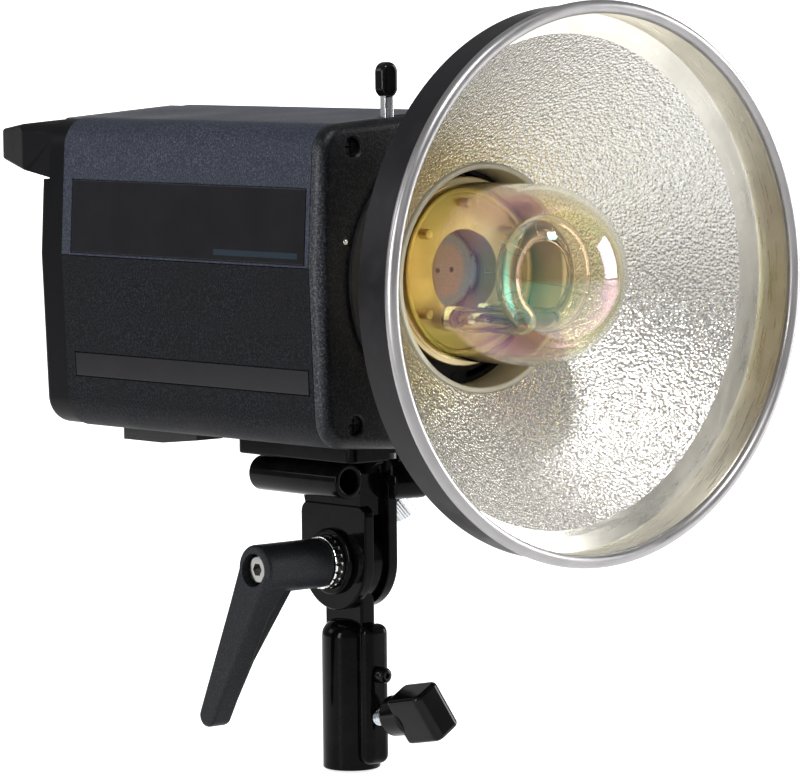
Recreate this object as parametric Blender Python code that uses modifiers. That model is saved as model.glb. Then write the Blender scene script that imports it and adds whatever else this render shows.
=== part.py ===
"""Mains studio flash head with a 190 mm reflector, on a tilting stand receptor.

Units are metres, +Z is up. The origin is the seat that the stand spigot stops against,
on the stand's axis. The lamp looks along -Y.

Receptor pieces are written in world coordinates. Pieces of the head
are written in head coordinates (x, y behind the reflector rim, z above the optical axis)
and parented to the empty "head_frame", which stands at the rim's centre. Within the head,
the bracket's heights are counted from the housing's underside ("belly_frame") and the rear
pieces' depths from the back of the shells ("rear_frame").
"""

import math

import bmesh
import bpy
from mathutils import Euler, Matrix, Vector

GAP = 0.0003            # clearance between touching pieces

# ---- stand receptor ------------------------------------------------------------------
SPIGOT_BORE = 0.00815   # radius of the socket for a 16 mm stand spigot
SOCKET_DEPTH = 0.0405
TUBE_WALL = 0.00215
TUBE_RADIUS = SPIGOT_BORE + TUBE_WALL
TUBE_TOP = 0.0132
BOSS_RISE = 0.0053      # how far the threaded rib stands out of the tube
BOSS_FRONT = TUBE_RADIUS + BOSS_RISE
BOSS_HALF = 0.0056
TONGUE_HALF = 0.0032
TONGUE_RADIUS = 0.0155
NECK_HALF = 0.0100

# ---- tilt joint ----------------------------------------------------------------------
PIVOT_UP = 0.0343       # tilt axis above the spigot seat
EAR_THICK = 0.00425
EAR_RADIUS = 0.0175
STUD_RADIUS = 0.0040
HUB_RADIUS = 0.0088
HUB_INNER = 0.0145      # where the lever hub starts, from the centre plane
HUB_OUTER = 0.0418
LEVER_LENGTH = 0.0575
LEVER_LEAN = math.radians(22.0)

# ---- head placement relative to the stand axis ---------------------------------------
STAND_Y = 0.1305        # stand axis behind the reflector rim

# ---- housing -------------------------------------------------------------------------
HALF_WIDTH = 0.0602     # at the seam between the shells
SIDE_TAPER = 0.0026
CROWN = 0.0038
TOP_CORNER = 0.0537
LOW_CORNER = -0.0564
HALF_CORNER = HALF_WIDTH - SIDE_TAPER
TOP_RIDGE = TOP_CORNER + CROWN
LOW_RIDGE = LOW_CORNER - CROWN
SEAM_Z = 0.0052         # the side crease where the shells meet, above the optical axis
CORNER_RADIUS = 0.0108
WALL = 0.0026
BEZEL_FRONT = 0.0754
BEZEL_DEPTH = 0.0050
BEZEL_BACK = BEZEL_FRONT + BEZEL_DEPTH
BEZEL_PLATE = 0.0026
SHELL_BACK = 0.2174
COVER_DEPTH = 0.0146
HANDLE_START = COVER_DEPTH - 0.0056     # behind SHELL_BACK
PANEL_FACE = COVER_DEPTH - 0.0006       # behind SHELL_BACK
PANEL_THICK = 0.0018
PIVOT_DROP = 0.0430     # tilt axis below the housing's underside
AXIS_UP = PIVOT_UP + PIVOT_DROP - LOW_RIDGE
LABEL_TOP = 0.0326
LABEL_LOW = 0.0060
LABEL_INSET = 0.0020    # from the bezel to the overlays
LABEL_RECESS = 0.0010
STRIP_TOP = -0.0295
STRIP_LOW = -0.0385
CAN_RADIUS = 0.0175     # of the flash capacitors

# ---- reflector -----------------------------------------------------------------------
RIM_RADIUS = 0.0953
BEAD_RADIUS = 0.0023
LIP_DEPTH = 0.0167
BOWL_EDGE = 0.0840
BOWL_EDGE_Y = 0.0180
NECK_RADIUS = 0.0398
NECK_Y = 0.0580
SHEET = 0.0012

# ---- lamp ----------------------------------------------------------------------------
LAMP_RISE = 0.0020      # lamp axis above the reflector's
BASE_FRONT = 0.0675
DOME_RADIUS = 0.0310
DOME_WALL = 0.0016
DOME_CENTRE_Y = 0.0315
RING_RADIUS = 0.0165
RING_TUBE = 0.0043
RING_Y = 0.0280

# ---- umbrella tube -------------------------------------------------------------------
DECK_SIDE = -0.0068     # the bracket's deck, on the tube's side
WING_LOW = -0.0060      # underside of the bracket's wings
UMB_WALL = 0.00205
UMB_BORE = 0.0043
UMB_RADIUS = UMB_BORE + UMB_WALL
UMB_X = DECK_SIDE - 0.00145 - UMB_RADIUS
UMB_Z = WING_LOW - 0.00045 - UMB_RADIUS
UMB_FRONT = 0.1132
UMB_BACK = 0.1616

# ---- clamping screws -----------------------------------------------------------------
SCREW_LEAN = math.radians(10.0)
SCREW_Z = -0.0236       # where the stand screw's axis meets the stand axis
SCREW_RADIUS = 0.0030
THUMB_DIR = Vector((0.70, 0.0, -0.714)).normalized()
THUMB_HEAD = Vector((0.0200, 0.1270, -0.0236))


def clear_scene():
    """Removes whatever objects the file holds."""
    for obj in list(bpy.data.objects):
        bpy.data.objects.remove(obj, do_unlink=True)


def new_collection(name, hidden=False):
    coll = bpy.data.collections.new(name)
    bpy.context.scene.collection.children.link(coll)
    coll.hide_render = hidden
    return coll


clear_scene()
PARTS = new_collection("studio_flash_head")
CUTTERS = new_collection("cutters", hidden=True)
GUIDES = new_collection("guides")


def material(name, colour, roughness, metallic=0.0, transmission=0.0):
    mat = bpy.data.materials.new(name)
    mat.use_nodes = True
    shader = mat.node_tree.nodes["Principled BSDF"]
    shader.inputs["Base Color"].default_value = (*colour, 1.0)
    shader.inputs["Roughness"].default_value = roughness
    shader.inputs["Metallic"].default_value = metallic
    shader.inputs["Transmission Weight"].default_value = transmission
    mat.diffuse_color = (*colour, 1.0)
    return mat


def empty(name, location, parent=None):
    obj = bpy.data.objects.new(name, None)
    GUIDES.objects.link(obj)
    obj.parent = parent
    obj.location = location
    return obj


def finish_mesh(bm, name):
    bmesh.ops.remove_doubles(bm, verts=bm.verts, dist=1e-6)
    bmesh.ops.recalc_face_normals(bm, faces=bm.faces)
    mesh = bpy.data.meshes.new(name)
    bm.to_mesh(mesh)
    bm.free()
    return mesh


def place(name, mesh, parent=None, location=(0, 0, 0), rotation=(0, 0, 0), look=None, smooth=True):
    """Links a mesh as a part, or as a cutter when it has no look."""
    obj = bpy.data.objects.new(name, mesh)
    (PARTS if look else CUTTERS).objects.link(obj)
    obj.parent = parent
    obj.location = location
    obj.rotation_euler = rotation
    if look:
        mesh.materials.append(look)
        if smooth:
            mesh.shade_smooth()
            mesh.set_sharp_from_angle(angle=math.radians(35.0))
    else:
        obj.hide_render = True
        obj.display_type = "WIRE"
    return obj


def box_mesh(low, high, bevel=0.0, segments=2, along=None):
    """A box between two corners, with its edges rounded, or only those along one axis."""
    low, high = Vector(low), Vector(high)
    bm = bmesh.new()
    bmesh.ops.create_cube(bm, size=1.0)
    bmesh.ops.scale(bm, vec=high - low, verts=bm.verts)
    bmesh.ops.translate(bm, vec=(low + high) / 2.0, verts=bm.verts)
    if bevel:
        edges = bm.edges[:]
        if along is not None:
            edges = [e for e in edges if abs((e.verts[0].co - e.verts[1].co).normalized()[along]) > 0.9]
        bmesh.ops.bevel(bm, geom=edges, offset=bevel, segments=segments, profile=0.5,
                        affect="EDGES", material=-1)
    return finish_mesh(bm, "box")


def rod_mesh(start, end, radius, end_radius=None, sides=24, bevel=0.0, bevel_start=True):
    """A cylinder or cone between two points, with its rims chamfered by bevel."""
    start, end = Vector(start), Vector(end)
    run = end - start
    bm = bmesh.new()
    bmesh.ops.create_cone(bm, cap_ends=True, segments=sides, radius1=radius,
                          radius2=radius if end_radius is None else end_radius, depth=run.length)
    if bevel:
        rims = [e for e in bm.edges
                if abs(e.verts[0].co.z - e.verts[1].co.z) < 1e-7 and (bevel_start or e.verts[0].co.z > 0)]
        bmesh.ops.bevel(bm, geom=rims, offset=bevel, segments=1, profile=0.5, affect="EDGES", material=-1)
    turn = Vector((0, 0, 1)).rotation_difference(run.normalized()).to_matrix().to_4x4()
    bm.transform(Matrix.Translation((start + end) / 2.0) @ turn)
    return finish_mesh(bm, "rod")


def rounded(points, radii, steps=4):
    """The corners of a closed outline, each replaced by an arc of its radius."""
    outline = []
    for index, point in enumerate(points):
        corner = Vector(point)
        radius = radii[index] if isinstance(radii, (list, tuple)) else radii
        if radius <= 0.0:
            outline.append(corner)
            continue
        back = (Vector(points[index - 1]) - corner).normalized()
        ahead = (Vector(points[(index + 1) % len(points)]) - corner).normalized()
        half = back.angle(ahead) / 2.0
        centre = corner + (back + ahead).normalized() * (radius / math.sin(half))
        first = corner + back * (radius / math.tan(half)) - centre
        last = corner + ahead * (radius / math.tan(half)) - centre
        total = first.angle(last)
        sign = 1.0 if first.x * last.y - first.y * last.x > 0 else -1.0
        for step in range(steps + 1):
            angle = sign * total * step / steps
            spun = Vector((first.x * math.cos(angle) - first.y * math.sin(angle),
                           first.x * math.sin(angle) + first.y * math.cos(angle)))
            outline.append(centre + spun)
    return outline


def plate_mesh(outlines, low, high, axis="Y", front_bevel=0.0, back_bevel=0.0, segments=3):
    """A flat outline (with holes as further outlines) made solid between two planes.

    The outline's two coordinates are the two other axes in the order X, Y, Z.
    """
    curve = bpy.data.curves.new("outline", "CURVE")
    curve.dimensions = "2D"
    curve.fill_mode = "BOTH"
    curve.extrude = (high - low) / 2.0
    for outline in outlines:
        spline = curve.splines.new("POLY")
        spline.points.add(len(outline) - 1)
        for point, co in zip(spline.points, outline):
            point.co = (co[0], co[1], 0.0, 1.0)
        spline.use_cyclic_u = True
    holder = bpy.data.objects.new("outline", curve)
    CUTTERS.objects.link(holder)
    graph = bpy.context.evaluated_depsgraph_get()
    graph.update()
    flat = bpy.data.meshes.new_from_object(holder.evaluated_get(graph))
    bpy.data.objects.remove(holder, do_unlink=True)
    bm = bmesh.new()
    bm.from_mesh(flat)
    bmesh.ops.remove_doubles(bm, verts=bm.verts, dist=1e-6)
    if len(outlines) == 1:
        bmesh.ops.dissolve_limit(bm, angle_limit=math.radians(0.5), verts=bm.verts, edges=bm.edges)
    middle = (low + high) / 2.0
    order = {"X": Matrix(((0, 0, 1), (1, 0, 0), (0, 1, 0))),
             "Y": Matrix(((1, 0, 0), (0, 0, 1), (0, 1, 0))),
             "Z": Matrix(((1, 0, 0), (0, 1, 0), (0, 0, 1)))}[axis].to_4x4()
    bm.transform(order)
    index = "XYZ".index(axis)
    bmesh.ops.translate(bm, vec=[middle if i == index else 0.0 for i in range(3)], verts=bm.verts)
    bmesh.ops.recalc_face_normals(bm, faces=bm.faces)
    for level, width in ((low, front_bevel), (high, back_bevel)):
        if width:
            rim = [e for e in bm.edges if all(abs(v.co[index] - level) < 1e-6 for v in e.verts)]
            bmesh.ops.bevel(bm, geom=rim, offset=width, segments=segments, profile=0.5,
                            affect="EDGES", material=-1)
    bmesh.ops.triangulate(bm, faces=[f for f in bm.faces if len(f.verts) > 4])
    return finish_mesh(bm, "plate")


def turned(name, profile, parent=None, location=(0, 0, 0), rotation=(0, 0, 0), look=None, steps=48):
    """A profile of (radius, height) pairs turned about the object's own Z axis."""
    area = sum(a[0] * b[1] - b[0] * a[1] for a, b in zip(profile, profile[1:] + profile[:1]))
    ordered = profile if area < 0 else profile[::-1]
    closed = min(p[0] for p in profile) > 1e-6
    if not closed:
        top = max(range(len(ordered)), key=lambda i: (ordered[i][0] < 1e-9, ordered[i][1]))
        ordered = ordered[top:] + ordered[:top]
    bm = bmesh.new()
    verts = [bm.verts.new((r, 0.0, h)) for r, h in ordered]
    pairs = list(zip(verts, verts[1:]))
    if closed:
        pairs.append((verts[-1], verts[0]))
    for a, b in pairs:
        bm.edges.new((a, b))
    mesh = bpy.data.meshes.new(name)
    bm.to_mesh(mesh)
    bm.free()
    obj = place(name, mesh, parent, location, rotation, look, smooth=False)
    screw = obj.modifiers.new("turn", "SCREW")
    screw.steps = screw.render_steps = steps
    screw.use_merge_vertices = True
    screw.merge_threshold = 0.00005
    screw.use_smooth_shade = True
    return obj


def tube_mesh(points, radius, resolution=3):
    """A round bar along a run of points, as a closed mesh."""
    curve = bpy.data.curves.new("bar", "CURVE")
    curve.dimensions = "3D"
    curve.bevel_depth = radius
    curve.bevel_resolution = resolution
    curve.use_fill_caps = True
    spline = curve.splines.new("POLY")
    spline.points.add(len(points) - 1)
    for point, co in zip(spline.points, points):
        point.co = (*co, 1.0)
    holder = bpy.data.objects.new("bar", curve)
    CUTTERS.objects.link(holder)
    graph = bpy.context.evaluated_depsgraph_get()
    graph.update()
    mesh = bpy.data.meshes.new_from_object(holder.evaluated_get(graph))
    bpy.data.objects.remove(holder, do_unlink=True)
    bm = bmesh.new()
    bm.from_mesh(mesh)
    return finish_mesh(bm, "bar")


def boolean(target, tool, operation="DIFFERENCE"):
    mod = target.modifiers.new(operation.lower(), "BOOLEAN")
    mod.operation = operation
    mod.solver = "EXACT"
    mod.object = tool
    return target


def cut(target, mesh, parent=None, location=(0, 0, 0), rotation=(0, 0, 0)):
    return boolean(target, place("cut_" + target.name, mesh, parent, location, rotation))


def join(target, mesh, parent=None, location=(0, 0, 0), rotation=(0, 0, 0)):
    return boolean(target, place("add_" + target.name, mesh, parent, location, rotation), "UNION")


# ---- looks ---------------------------------------------------------------------------
PAINT_BLUE = material("crinkle_paint", (0.055, 0.065, 0.090), 0.55)
PAINT_BLACK = material("satin_black", (0.020, 0.020, 0.024), 0.45)
GLOSS_BLACK = material("gloss_black", (0.010, 0.010, 0.011), 0.18)
LEVER_BLACK = material("textured_black", (0.030, 0.030, 0.033), 0.60)
LABEL = material("label_black", (0.015, 0.016, 0.022), 0.12)
STEEL = material("bright_steel", (0.62, 0.62, 0.60), 0.25, 1.0)
SILVER = material("hammered_silver", (0.80, 0.78, 0.72), 0.30, 1.0)
CREAM = material("cream_collar", (0.75, 0.72, 0.60), 0.35)
GOLD = material("gold_base", (0.80, 0.55, 0.18), 0.30, 1.0)
GLASS = material("coated_glass", (1.0, 0.96, 0.85), 0.03, 0.0, 1.0)
QUARTZ = material("quartz", (0.98, 0.98, 0.95), 0.02, 0.0, 1.0)
CERAMIC = material("ceramic", (0.80, 0.78, 0.72), 0.50)
RUBBER = material("rubber", (0.015, 0.015, 0.015), 0.80)
BRASS = material("brass", (0.75, 0.55, 0.25), 0.35, 1.0)
GREEN = material("board_green", (0.03, 0.18, 0.07), 0.50)
SLEEVE = material("capacitor_sleeve", (0.03, 0.05, 0.14), 0.35)
ZINC = material("zinc_sheet", (0.55, 0.56, 0.57), 0.40, 1.0)
RED = material("red_lens", (0.60, 0.02, 0.02), 0.20)
GREY = material("grey_knob", (0.35, 0.35, 0.36), 0.50)

HEAD = empty("head_frame", (0.0, -STAND_Y, AXIS_UP))
BELLY = empty("belly_frame", (0.0, 0.0, LOW_RIDGE), HEAD)
REAR = empty("rear_frame", (0.0, SHELL_BACK, 0.0), HEAD)
PIVOT = empty("tilt_axis", (0.0, 0.0, PIVOT_UP))
SCREW_AXIS = empty("stand_screw_axis", (0.0, 0.0, SCREW_Z))
SCREW_AXIS.rotation_euler = Euler((math.radians(90.0) - SCREW_LEAN, 0.0, 0.0))
BACKWARD = (math.radians(-90.0), 0.0, 0.0)     # turns a profile's height to head y


def section(inset=0.0, part="full"):
    """The housing's crowned cross-section in (x, z), moved in by inset."""
    side, corner = HALF_WIDTH - inset, HALF_CORNER - inset
    top, ridge = TOP_CORNER - inset, TOP_RIDGE - inset
    low, valley = LOW_CORNER + inset, LOW_RIDGE + inset
    radius = CORNER_RADIUS - inset
    upper = [(side, SEAM_Z), (corner, top), (0.0, ridge), (-corner, top), (-side, SEAM_Z)]
    lower = [(-side, SEAM_Z), (-corner, low), (0.0, valley), (corner, low), (side, SEAM_Z)]
    radii = [0.0, radius, 0.0, radius, 0.0]
    if part == "upper":
        return upper, radii
    if part == "lower":
        return lower, radii
    return upper + lower[1:4], radii + radii[1:4]


def half_shell_outline(part):
    """One shell's wall: its outer outline out, its inner outline back, split at the seam."""
    outer, outer_radii = section(0.0, part)
    inner, inner_radii = section(WALL, part)
    lift = GAP / 2.0 if part == "upper" else -GAP / 2.0
    points = [Vector(p) for p in outer + inner[::-1]]
    for point in points:
        if abs(point.y - SEAM_Z) < 1e-6:
            point.y = SEAM_Z + lift
    return rounded(points, outer_radii + inner_radii[::-1], steps=4)


def stand_receptor():
    """Socket tube, threaded rib, neck and the tongue that the tilt yoke clamps."""
    top_round = 0.006
    profile = [(0.0, TUBE_TOP)]
    for step in range(5):
        angle = math.radians(90.0 * step / 4.0)
        profile.append((TUBE_RADIUS - top_round + top_round * math.sin(angle),
                        TUBE_TOP - top_round + top_round * math.cos(angle)))
    bottom = -SOCKET_DEPTH
    profile += [(TUBE_RADIUS, bottom + 0.0008), (TUBE_RADIUS - 0.0008, bottom),
                (SPIGOT_BORE + 0.0006, bottom), (SPIGOT_BORE, bottom + 0.0006),
                (SPIGOT_BORE, 0.0), (0.0, 0.0)]
    body = turned("stand_receptor", profile, look=GLOSS_BLACK, steps=28)
    rib = box_mesh((-BOSS_HALF, -BOSS_FRONT, bottom + 0.0025), (BOSS_HALF, -SPIGOT_BORE - 0.0004, TUBE_TOP - 0.001),
                   bevel=0.0028, segments=2)
    join(body, rib)
    join(body, box_mesh((-TONGUE_HALF, -NECK_HALF, 0.004), (TONGUE_HALF, NECK_HALF, PIVOT_UP),
                        bevel=0.0006, segments=1, along=2))
    join(body, rod_mesh((-TONGUE_HALF, 0, 0), (TONGUE_HALF, 0, 0), TONGUE_RADIUS, sides=32), PIVOT)
    cut(body, rod_mesh((-0.02, 0, 0), (0.02, 0, 0), STUD_RADIUS + GAP, sides=24), PIVOT)
    cut(body, rod_mesh((0, 0, 0.004), (0, 0, 0.03), SCREW_RADIUS + GAP, sides=20), SCREW_AXIS)
    cut(body, rod_mesh((0, -0.004, -0.0057), (0, -0.03, -0.0057), 0.0020 + GAP, sides=16))
    return body


def receptor_set_screw():
    """Small button screw in the rib above the clamping screw."""
    shank = rod_mesh((0, -0.0092, -0.0057), (0, -BOSS_FRONT - 0.0008, -0.0057), 0.0020, sides=16)
    screw = place("receptor_set_screw", shank, look=GLOSS_BLACK)
    join(screw, rod_mesh((0, -BOSS_FRONT - GAP, -0.0057), (0, -BOSS_FRONT - 0.0042, -0.0057), 0.0029,
                         sides=20, bevel=0.0012, bevel_start=False))
    return screw


def stand_clamp():
    """Thumb screw that grips the spigot: shaft, T-shaped knob and brass pressure pad."""
    tip = SPIGOT_BORE + 0.0010
    knob_back, knob_front = 0.0300, 0.0478
    shaft = rod_mesh((0, 0, tip), (0, 0, knob_back + 0.006), SCREW_RADIUS, sides=20, bevel=0.0005)
    place("stand_clamp_screw", shaft, SCREW_AXIS, look=STEEL)
    collar = rod_mesh((0, 0, knob_back - 0.0068), (0, 0, knob_back + 0.003), 0.0074, sides=28, bevel=0.0012)
    knob = place("stand_clamp_knob", collar, SCREW_AXIS, look=GLOSS_BLACK)
    grip = box_mesh((-0.0062, -0.0092, knob_back), (0.0062, 0.0092, knob_front), bevel=0.0016)
    join(knob, grip, SCREW_AXIS, rotation=(0, 0, math.radians(28.0)))
    cut(knob, rod_mesh((0, 0, 0.0), (0, 0, knob_back + 0.0063), SCREW_RADIUS + GAP, sides=20), SCREW_AXIS)
    pad = rod_mesh((0, 0, tip - GAP - 0.0022), (0, 0, tip - GAP), 0.0026, sides=16)
    place("stand_screw_pad", pad, SCREW_AXIS, look=BRASS)


def ear_outline(top, reach=EAR_RADIUS):
    """Side view of a yoke ear in (y, z), with a round foot about the tilt axis."""
    points = []
    for step in range(17):
        angle = math.radians(180.0 + 180.0 * step / 16.0)
        points.append((STAND_Y + reach * math.cos(angle), -PIVOT_DROP + reach * math.sin(angle)))
    corner = 0.004
    for cy, start in ((STAND_Y + reach - corner, 0.0), (STAND_Y - reach + corner, 90.0)):
        for step in range(4):
            angle = math.radians(start + 90.0 * step / 3.0)
            points.append((cy + corner * math.cos(angle), top - corner + corner * math.sin(angle)))
    return points


def tilt_bracket():
    """Cast yoke under the housing: top plate, web block and two ears around the tongue."""
    inner = TONGUE_HALF + GAP
    outer = inner + EAR_THICK
    yoke = place("tilt_bracket", plate_mesh([ear_outline(-0.0224)], -outer, -inner, "X"), BELLY, look=GLOSS_BLACK)
    join(yoke, plate_mesh([ear_outline(-0.0124)], inner, outer, "X"), BELLY)
    web_low = -PIVOT_DROP + TONGUE_RADIUS + 0.0015
    web = [(0.1160, -0.0088), (0.1160, web_low), (0.1450, web_low), (0.1500, -0.0088)]
    join(yoke, plate_mesh([web], -outer + 0.0004, outer - 0.0008, "X"), BELLY)
    deck = [(0.1075, -0.0010), (0.1075, -0.0066), (0.1105, -0.0088), (0.1135, -0.0110), (0.1525, -0.0110),
            (0.1560, -0.0088), (0.1650, -0.0066), (0.1665, -0.0010)]
    join(yoke, plate_mesh([deck], DECK_SIDE, 0.0135, "X"), BELLY)
    wings = [(-0.0200, 0.1060), (0.0200, 0.1060), (0.0200, 0.1690), (-0.0200, 0.1690)]
    join(yoke, plate_mesh([rounded(wings, 0.003)], WING_LOW, -0.0004, "Z"), BELLY)
    join(yoke, rod_mesh((0.004, 0.1145, -0.0143), (0.0185, 0.1110, -0.0143), 0.0066, sides=24, bevel=0.002,
                        bevel_start=False), BELLY)
    join(yoke, rod_mesh((-inner - 0.001, 0, 0), (-outer - 0.0023, 0, 0), 0.0113, sides=24, bevel=0.0008,
                        bevel_start=False), PIVOT)
    cut(yoke, rod_mesh((-outer - 0.0002, 0, 0), (-0.03, 0, 0), 0.0095 + GAP, sides=24), PIVOT)
    cut(yoke, rod_mesh((-0.03, 0, 0), (0.03, 0, 0), STUD_RADIUS + GAP, sides=24), PIVOT)
    start = THUMB_HEAD - THUMB_DIR * 0.0190
    cut(yoke, rod_mesh(start, THUMB_HEAD + THUMB_DIR * 0.01, 0.0020 + GAP, sides=16), BELLY)
    for y in (0.1095, 0.1625):
        cut(yoke, rod_mesh((0, y, -0.0118), (0, y, 0.0052), 0.0021, sides=16), BELLY)
        cut(yoke, rod_mesh((0, y, -0.0118), (0, y, -0.0030), 0.0041, sides=20), BELLY)
    for name, y in (("bracket_screw_front", 0.1095), ("bracket_screw_rear", 0.1625)):
        screw = place(name, rod_mesh((0, y, -0.0054), (0, y, -0.0033), 0.0036, sides=20), BELLY, look=STEEL)
        join(screw, rod_mesh((0, y, -0.0038), (0, y, 0.0050), 0.0018, sides=16), BELLY)
    return yoke


def umbrella_holder():
    """Tube for an umbrella shaft beside the yoke, and the knurled screw in the yoke's flank."""
    length = UMB_BACK - UMB_FRONT
    turned("umbrella_tube", [(UMB_BORE, 0.0), (UMB_RADIUS - 0.0006, 0.0), (UMB_RADIUS, 0.0006),
                             (UMB_RADIUS, length - 0.0020), (UMB_RADIUS - 0.0014, length), (UMB_BORE, length)],
           BELLY, (UMB_X, UMB_FRONT, UMB_Z), BACKWARD, GLOSS_BLACK, steps=28)
    head = THUMB_HEAD
    shank = rod_mesh(head - THUMB_DIR * 0.0160, head - THUMB_DIR * 0.0030, 0.0020, sides=16)
    thumb = place("umbrella_lock_screw", shank, BELLY, look=STEEL)
    knurl = rod_mesh(head - THUMB_DIR * 0.0040, head + THUMB_DIR * 0.0046, 0.0062, sides=32, bevel=0.0007)
    join(thumb, knurl, BELLY)
    join(thumb, rod_mesh(head - THUMB_DIR * 0.0058, head - THUMB_DIR * 0.0030, 0.0040, sides=24), BELLY)


def clamp_lever():
    """Stud, splined insert, lift-to-index lever, its cap screw and spring."""
    inner = TONGUE_HALF + GAP
    outer = inner + EAR_THICK
    nut_out = outer + GAP + 0.0052
    stud = rod_mesh((-HUB_INNER + 0.001, 0, 0), (nut_out + 0.002, 0, 0), STUD_RADIUS, sides=24, bevel=0.0006)
    place("clamp_stud", stud, PIVOT, look=STEEL)
    insert = place("clamp_insert", rod_mesh((-outer - 0.0005, 0, 0), (-HUB_INNER + GAP, 0, 0), 0.0095, sides=24,
                                            bevel=0.0006), PIVOT, look=STEEL)
    join(insert, rod_mesh((-outer - 0.002, 0, 0), (-0.0182, 0, 0), 0.0052, sides=24), PIVOT)
    cut(insert, rod_mesh((0, 0, 0), (-HUB_INNER + 0.0003, 0, 0), STUD_RADIUS + GAP, sides=24), PIVOT)
    cut(insert, rod_mesh((-0.0152, 0, 0), (-0.03, 0, 0), 0.0018, sides=16), PIVOT)
    nut = place("tilt_nut", rod_mesh((outer + GAP, 0, 0), (nut_out, 0, 0), 0.0075, sides=6, bevel=0.0004), PIVOT,
                look=STEEL)
    cut(nut, rod_mesh((0, 0, 0), (0.03, 0, 0), STUD_RADIUS + GAP, sides=24), PIVOT)

    hub = rod_mesh((-HUB_INNER, 0, 0), (-HUB_OUTER, 0, 0), HUB_RADIUS, sides=28, bevel=0.0008)
    lever = place("clamp_lever", hub, PIVOT, look=LEVER_BLACK)
    half = [(0.0, 0.0072), (LEVER_LENGTH, 0.0042), (LEVER_LENGTH + 0.0040, 0.0018)]
    arm_points = [(s, w) for s, w in half] + [(s, -w) for s, w in reversed(half)]
    lean, sine = math.cos(LEVER_LEAN), math.sin(LEVER_LEAN)
    outline = [(s * sine + w * lean, -s * lean + w * sine) for s, w in arm_points]
    arm = plate_mesh([outline], -0.0445, -0.0360, "X", front_bevel=0.0012, back_bevel=0.0012, segments=2)
    slope = 0.0050 / LEVER_LENGTH
    for vert in arm.vertices:
        vert.co.x -= slope * max(0.0, -vert.co.z)
    join(lever, arm, PIVOT)
    cut(lever, rod_mesh((0, 0, 0), (-0.0250, 0, 0), 0.0052 + GAP, sides=24), PIVOT)
    cut(lever, rod_mesh((-0.02, 0, 0), (-0.06, 0, 0), 0.0019, sides=20), PIVOT)
    cut(lever, rod_mesh((-0.0285, 0, 0), (-0.06, 0, 0), 0.0058, sides=28), PIVOT)

    cap = place("lever_cap_screw", rod_mesh((-0.0370, 0, 0), (-0.0428, 0, 0), 0.0052, sides=24, bevel=0.0009,
                                            bevel_start=False), PIVOT, look=STEEL)
    join(cap, rod_mesh((-0.0155, 0, 0), (-0.0380, 0, 0), 0.0015, sides=16), PIVOT)
    cut(cap, rod_mesh((-0.0405, 0, 0), (-0.05, 0, 0), 0.0021, sides=6), PIVOT)
    turns, points = 5.0, []
    for step in range(int(turns * 8) + 1):
        angle = 2.0 * math.pi * step / 8.0
        x = -0.0294 - 0.0068 * step / (turns * 8)
        points.append((x, 0.0036 * math.cos(angle), 0.0036 * math.sin(angle)))
    place("lever_spring", tube_mesh(points, 0.0004, 1), PIVOT, look=STEEL)


def housing():
    """Two formed shells that meet at the side creases, with recesses for the labels."""
    front, back = BEZEL_BACK + GAP / 2.0, SHELL_BACK - GAP / 2.0
    shells = {}
    for part in ("upper", "lower"):
        mesh = plate_mesh([half_shell_outline(part)], front, back)
        shells[part] = place(part + "_shell", mesh, HEAD, look=PAINT_BLUE)
    taper = HALF_WIDTH - HALF_CORNER
    bands = (("upper", "label", LABEL_TOP, LABEL_LOW, math.atan2(taper, TOP_CORNER - SEAM_Z)),
             ("lower", "strip", STRIP_TOP, STRIP_LOW, -math.atan2(taper, SEAM_Z - LOW_CORNER)))
    for part, kind, top, low, lean in bands:
        top, low = top - SEAM_Z, low - SEAM_Z
        for side, word in ((-1.0, "left"), (1.0, "right")):
            spin = (0.0, -side * lean, 0.0)
            origin = (side * HALF_WIDTH, 0.0, SEAM_Z)
            first, last = front + LABEL_INSET, back - 0.0050
            pocket = box_mesh((-side * LABEL_RECESS, first, low), (side * 0.01, last, top))
            cut(shells[part], pocket, HEAD, origin, spin)
            plate = box_mesh((-side * (LABEL_RECESS - GAP), first + GAP, low + GAP),
                             (side * 0.0001, last - GAP, top - GAP))
            place(kind + "_" + word, plate, HEAD, origin, spin, LABEL, smooth=False)
    cut(shells["upper"], lever_slot(), HEAD)
    for y in (0.1095, 0.1625):
        cut(shells["lower"], rod_mesh((0, y, -0.01), (0, y, 0.01), 0.0021, sides=16), BELLY)
    for side, word in ((-1.0, "left"), (1.0, "right")):
        foot = [(-0.0434, -0.0010), (-0.0239, -0.0030), (-0.0014, -0.0030), (-0.0014, 0.0062), (-0.0434, 0.0062)]
        pad = place("foot_" + word, plate_mesh([foot], *sorted((side * 0.0220, side * 0.0340)), "X"), REAR,
                    (0.0, 0.0, LOW_RIDGE), look=RUBBER)
        cut(pad, crowned_bar(GAP), HEAD)
    return shells


def crowned_bar(grow):
    """The housing's outline made solid, slightly enlarged."""
    points, radii = section(-grow)
    return plate_mesh([rounded(points, radii, steps=4)], BEZEL_FRONT, SHELL_BACK + 0.04)


def lever_slot():
    """Slot in the top of the bezel and upper shell that the lock lever swings in."""
    return box_mesh((-0.0284, BEZEL_FRONT + BEZEL_PLATE, 0.0490), (0.0060, 0.0817, 0.0700))


def shell_floor(x):
    """Height of the lower shell's inner face at a distance from the middle."""
    return LOW_RIDGE + CROWN * x / HALF_CORNER + WALL


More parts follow.
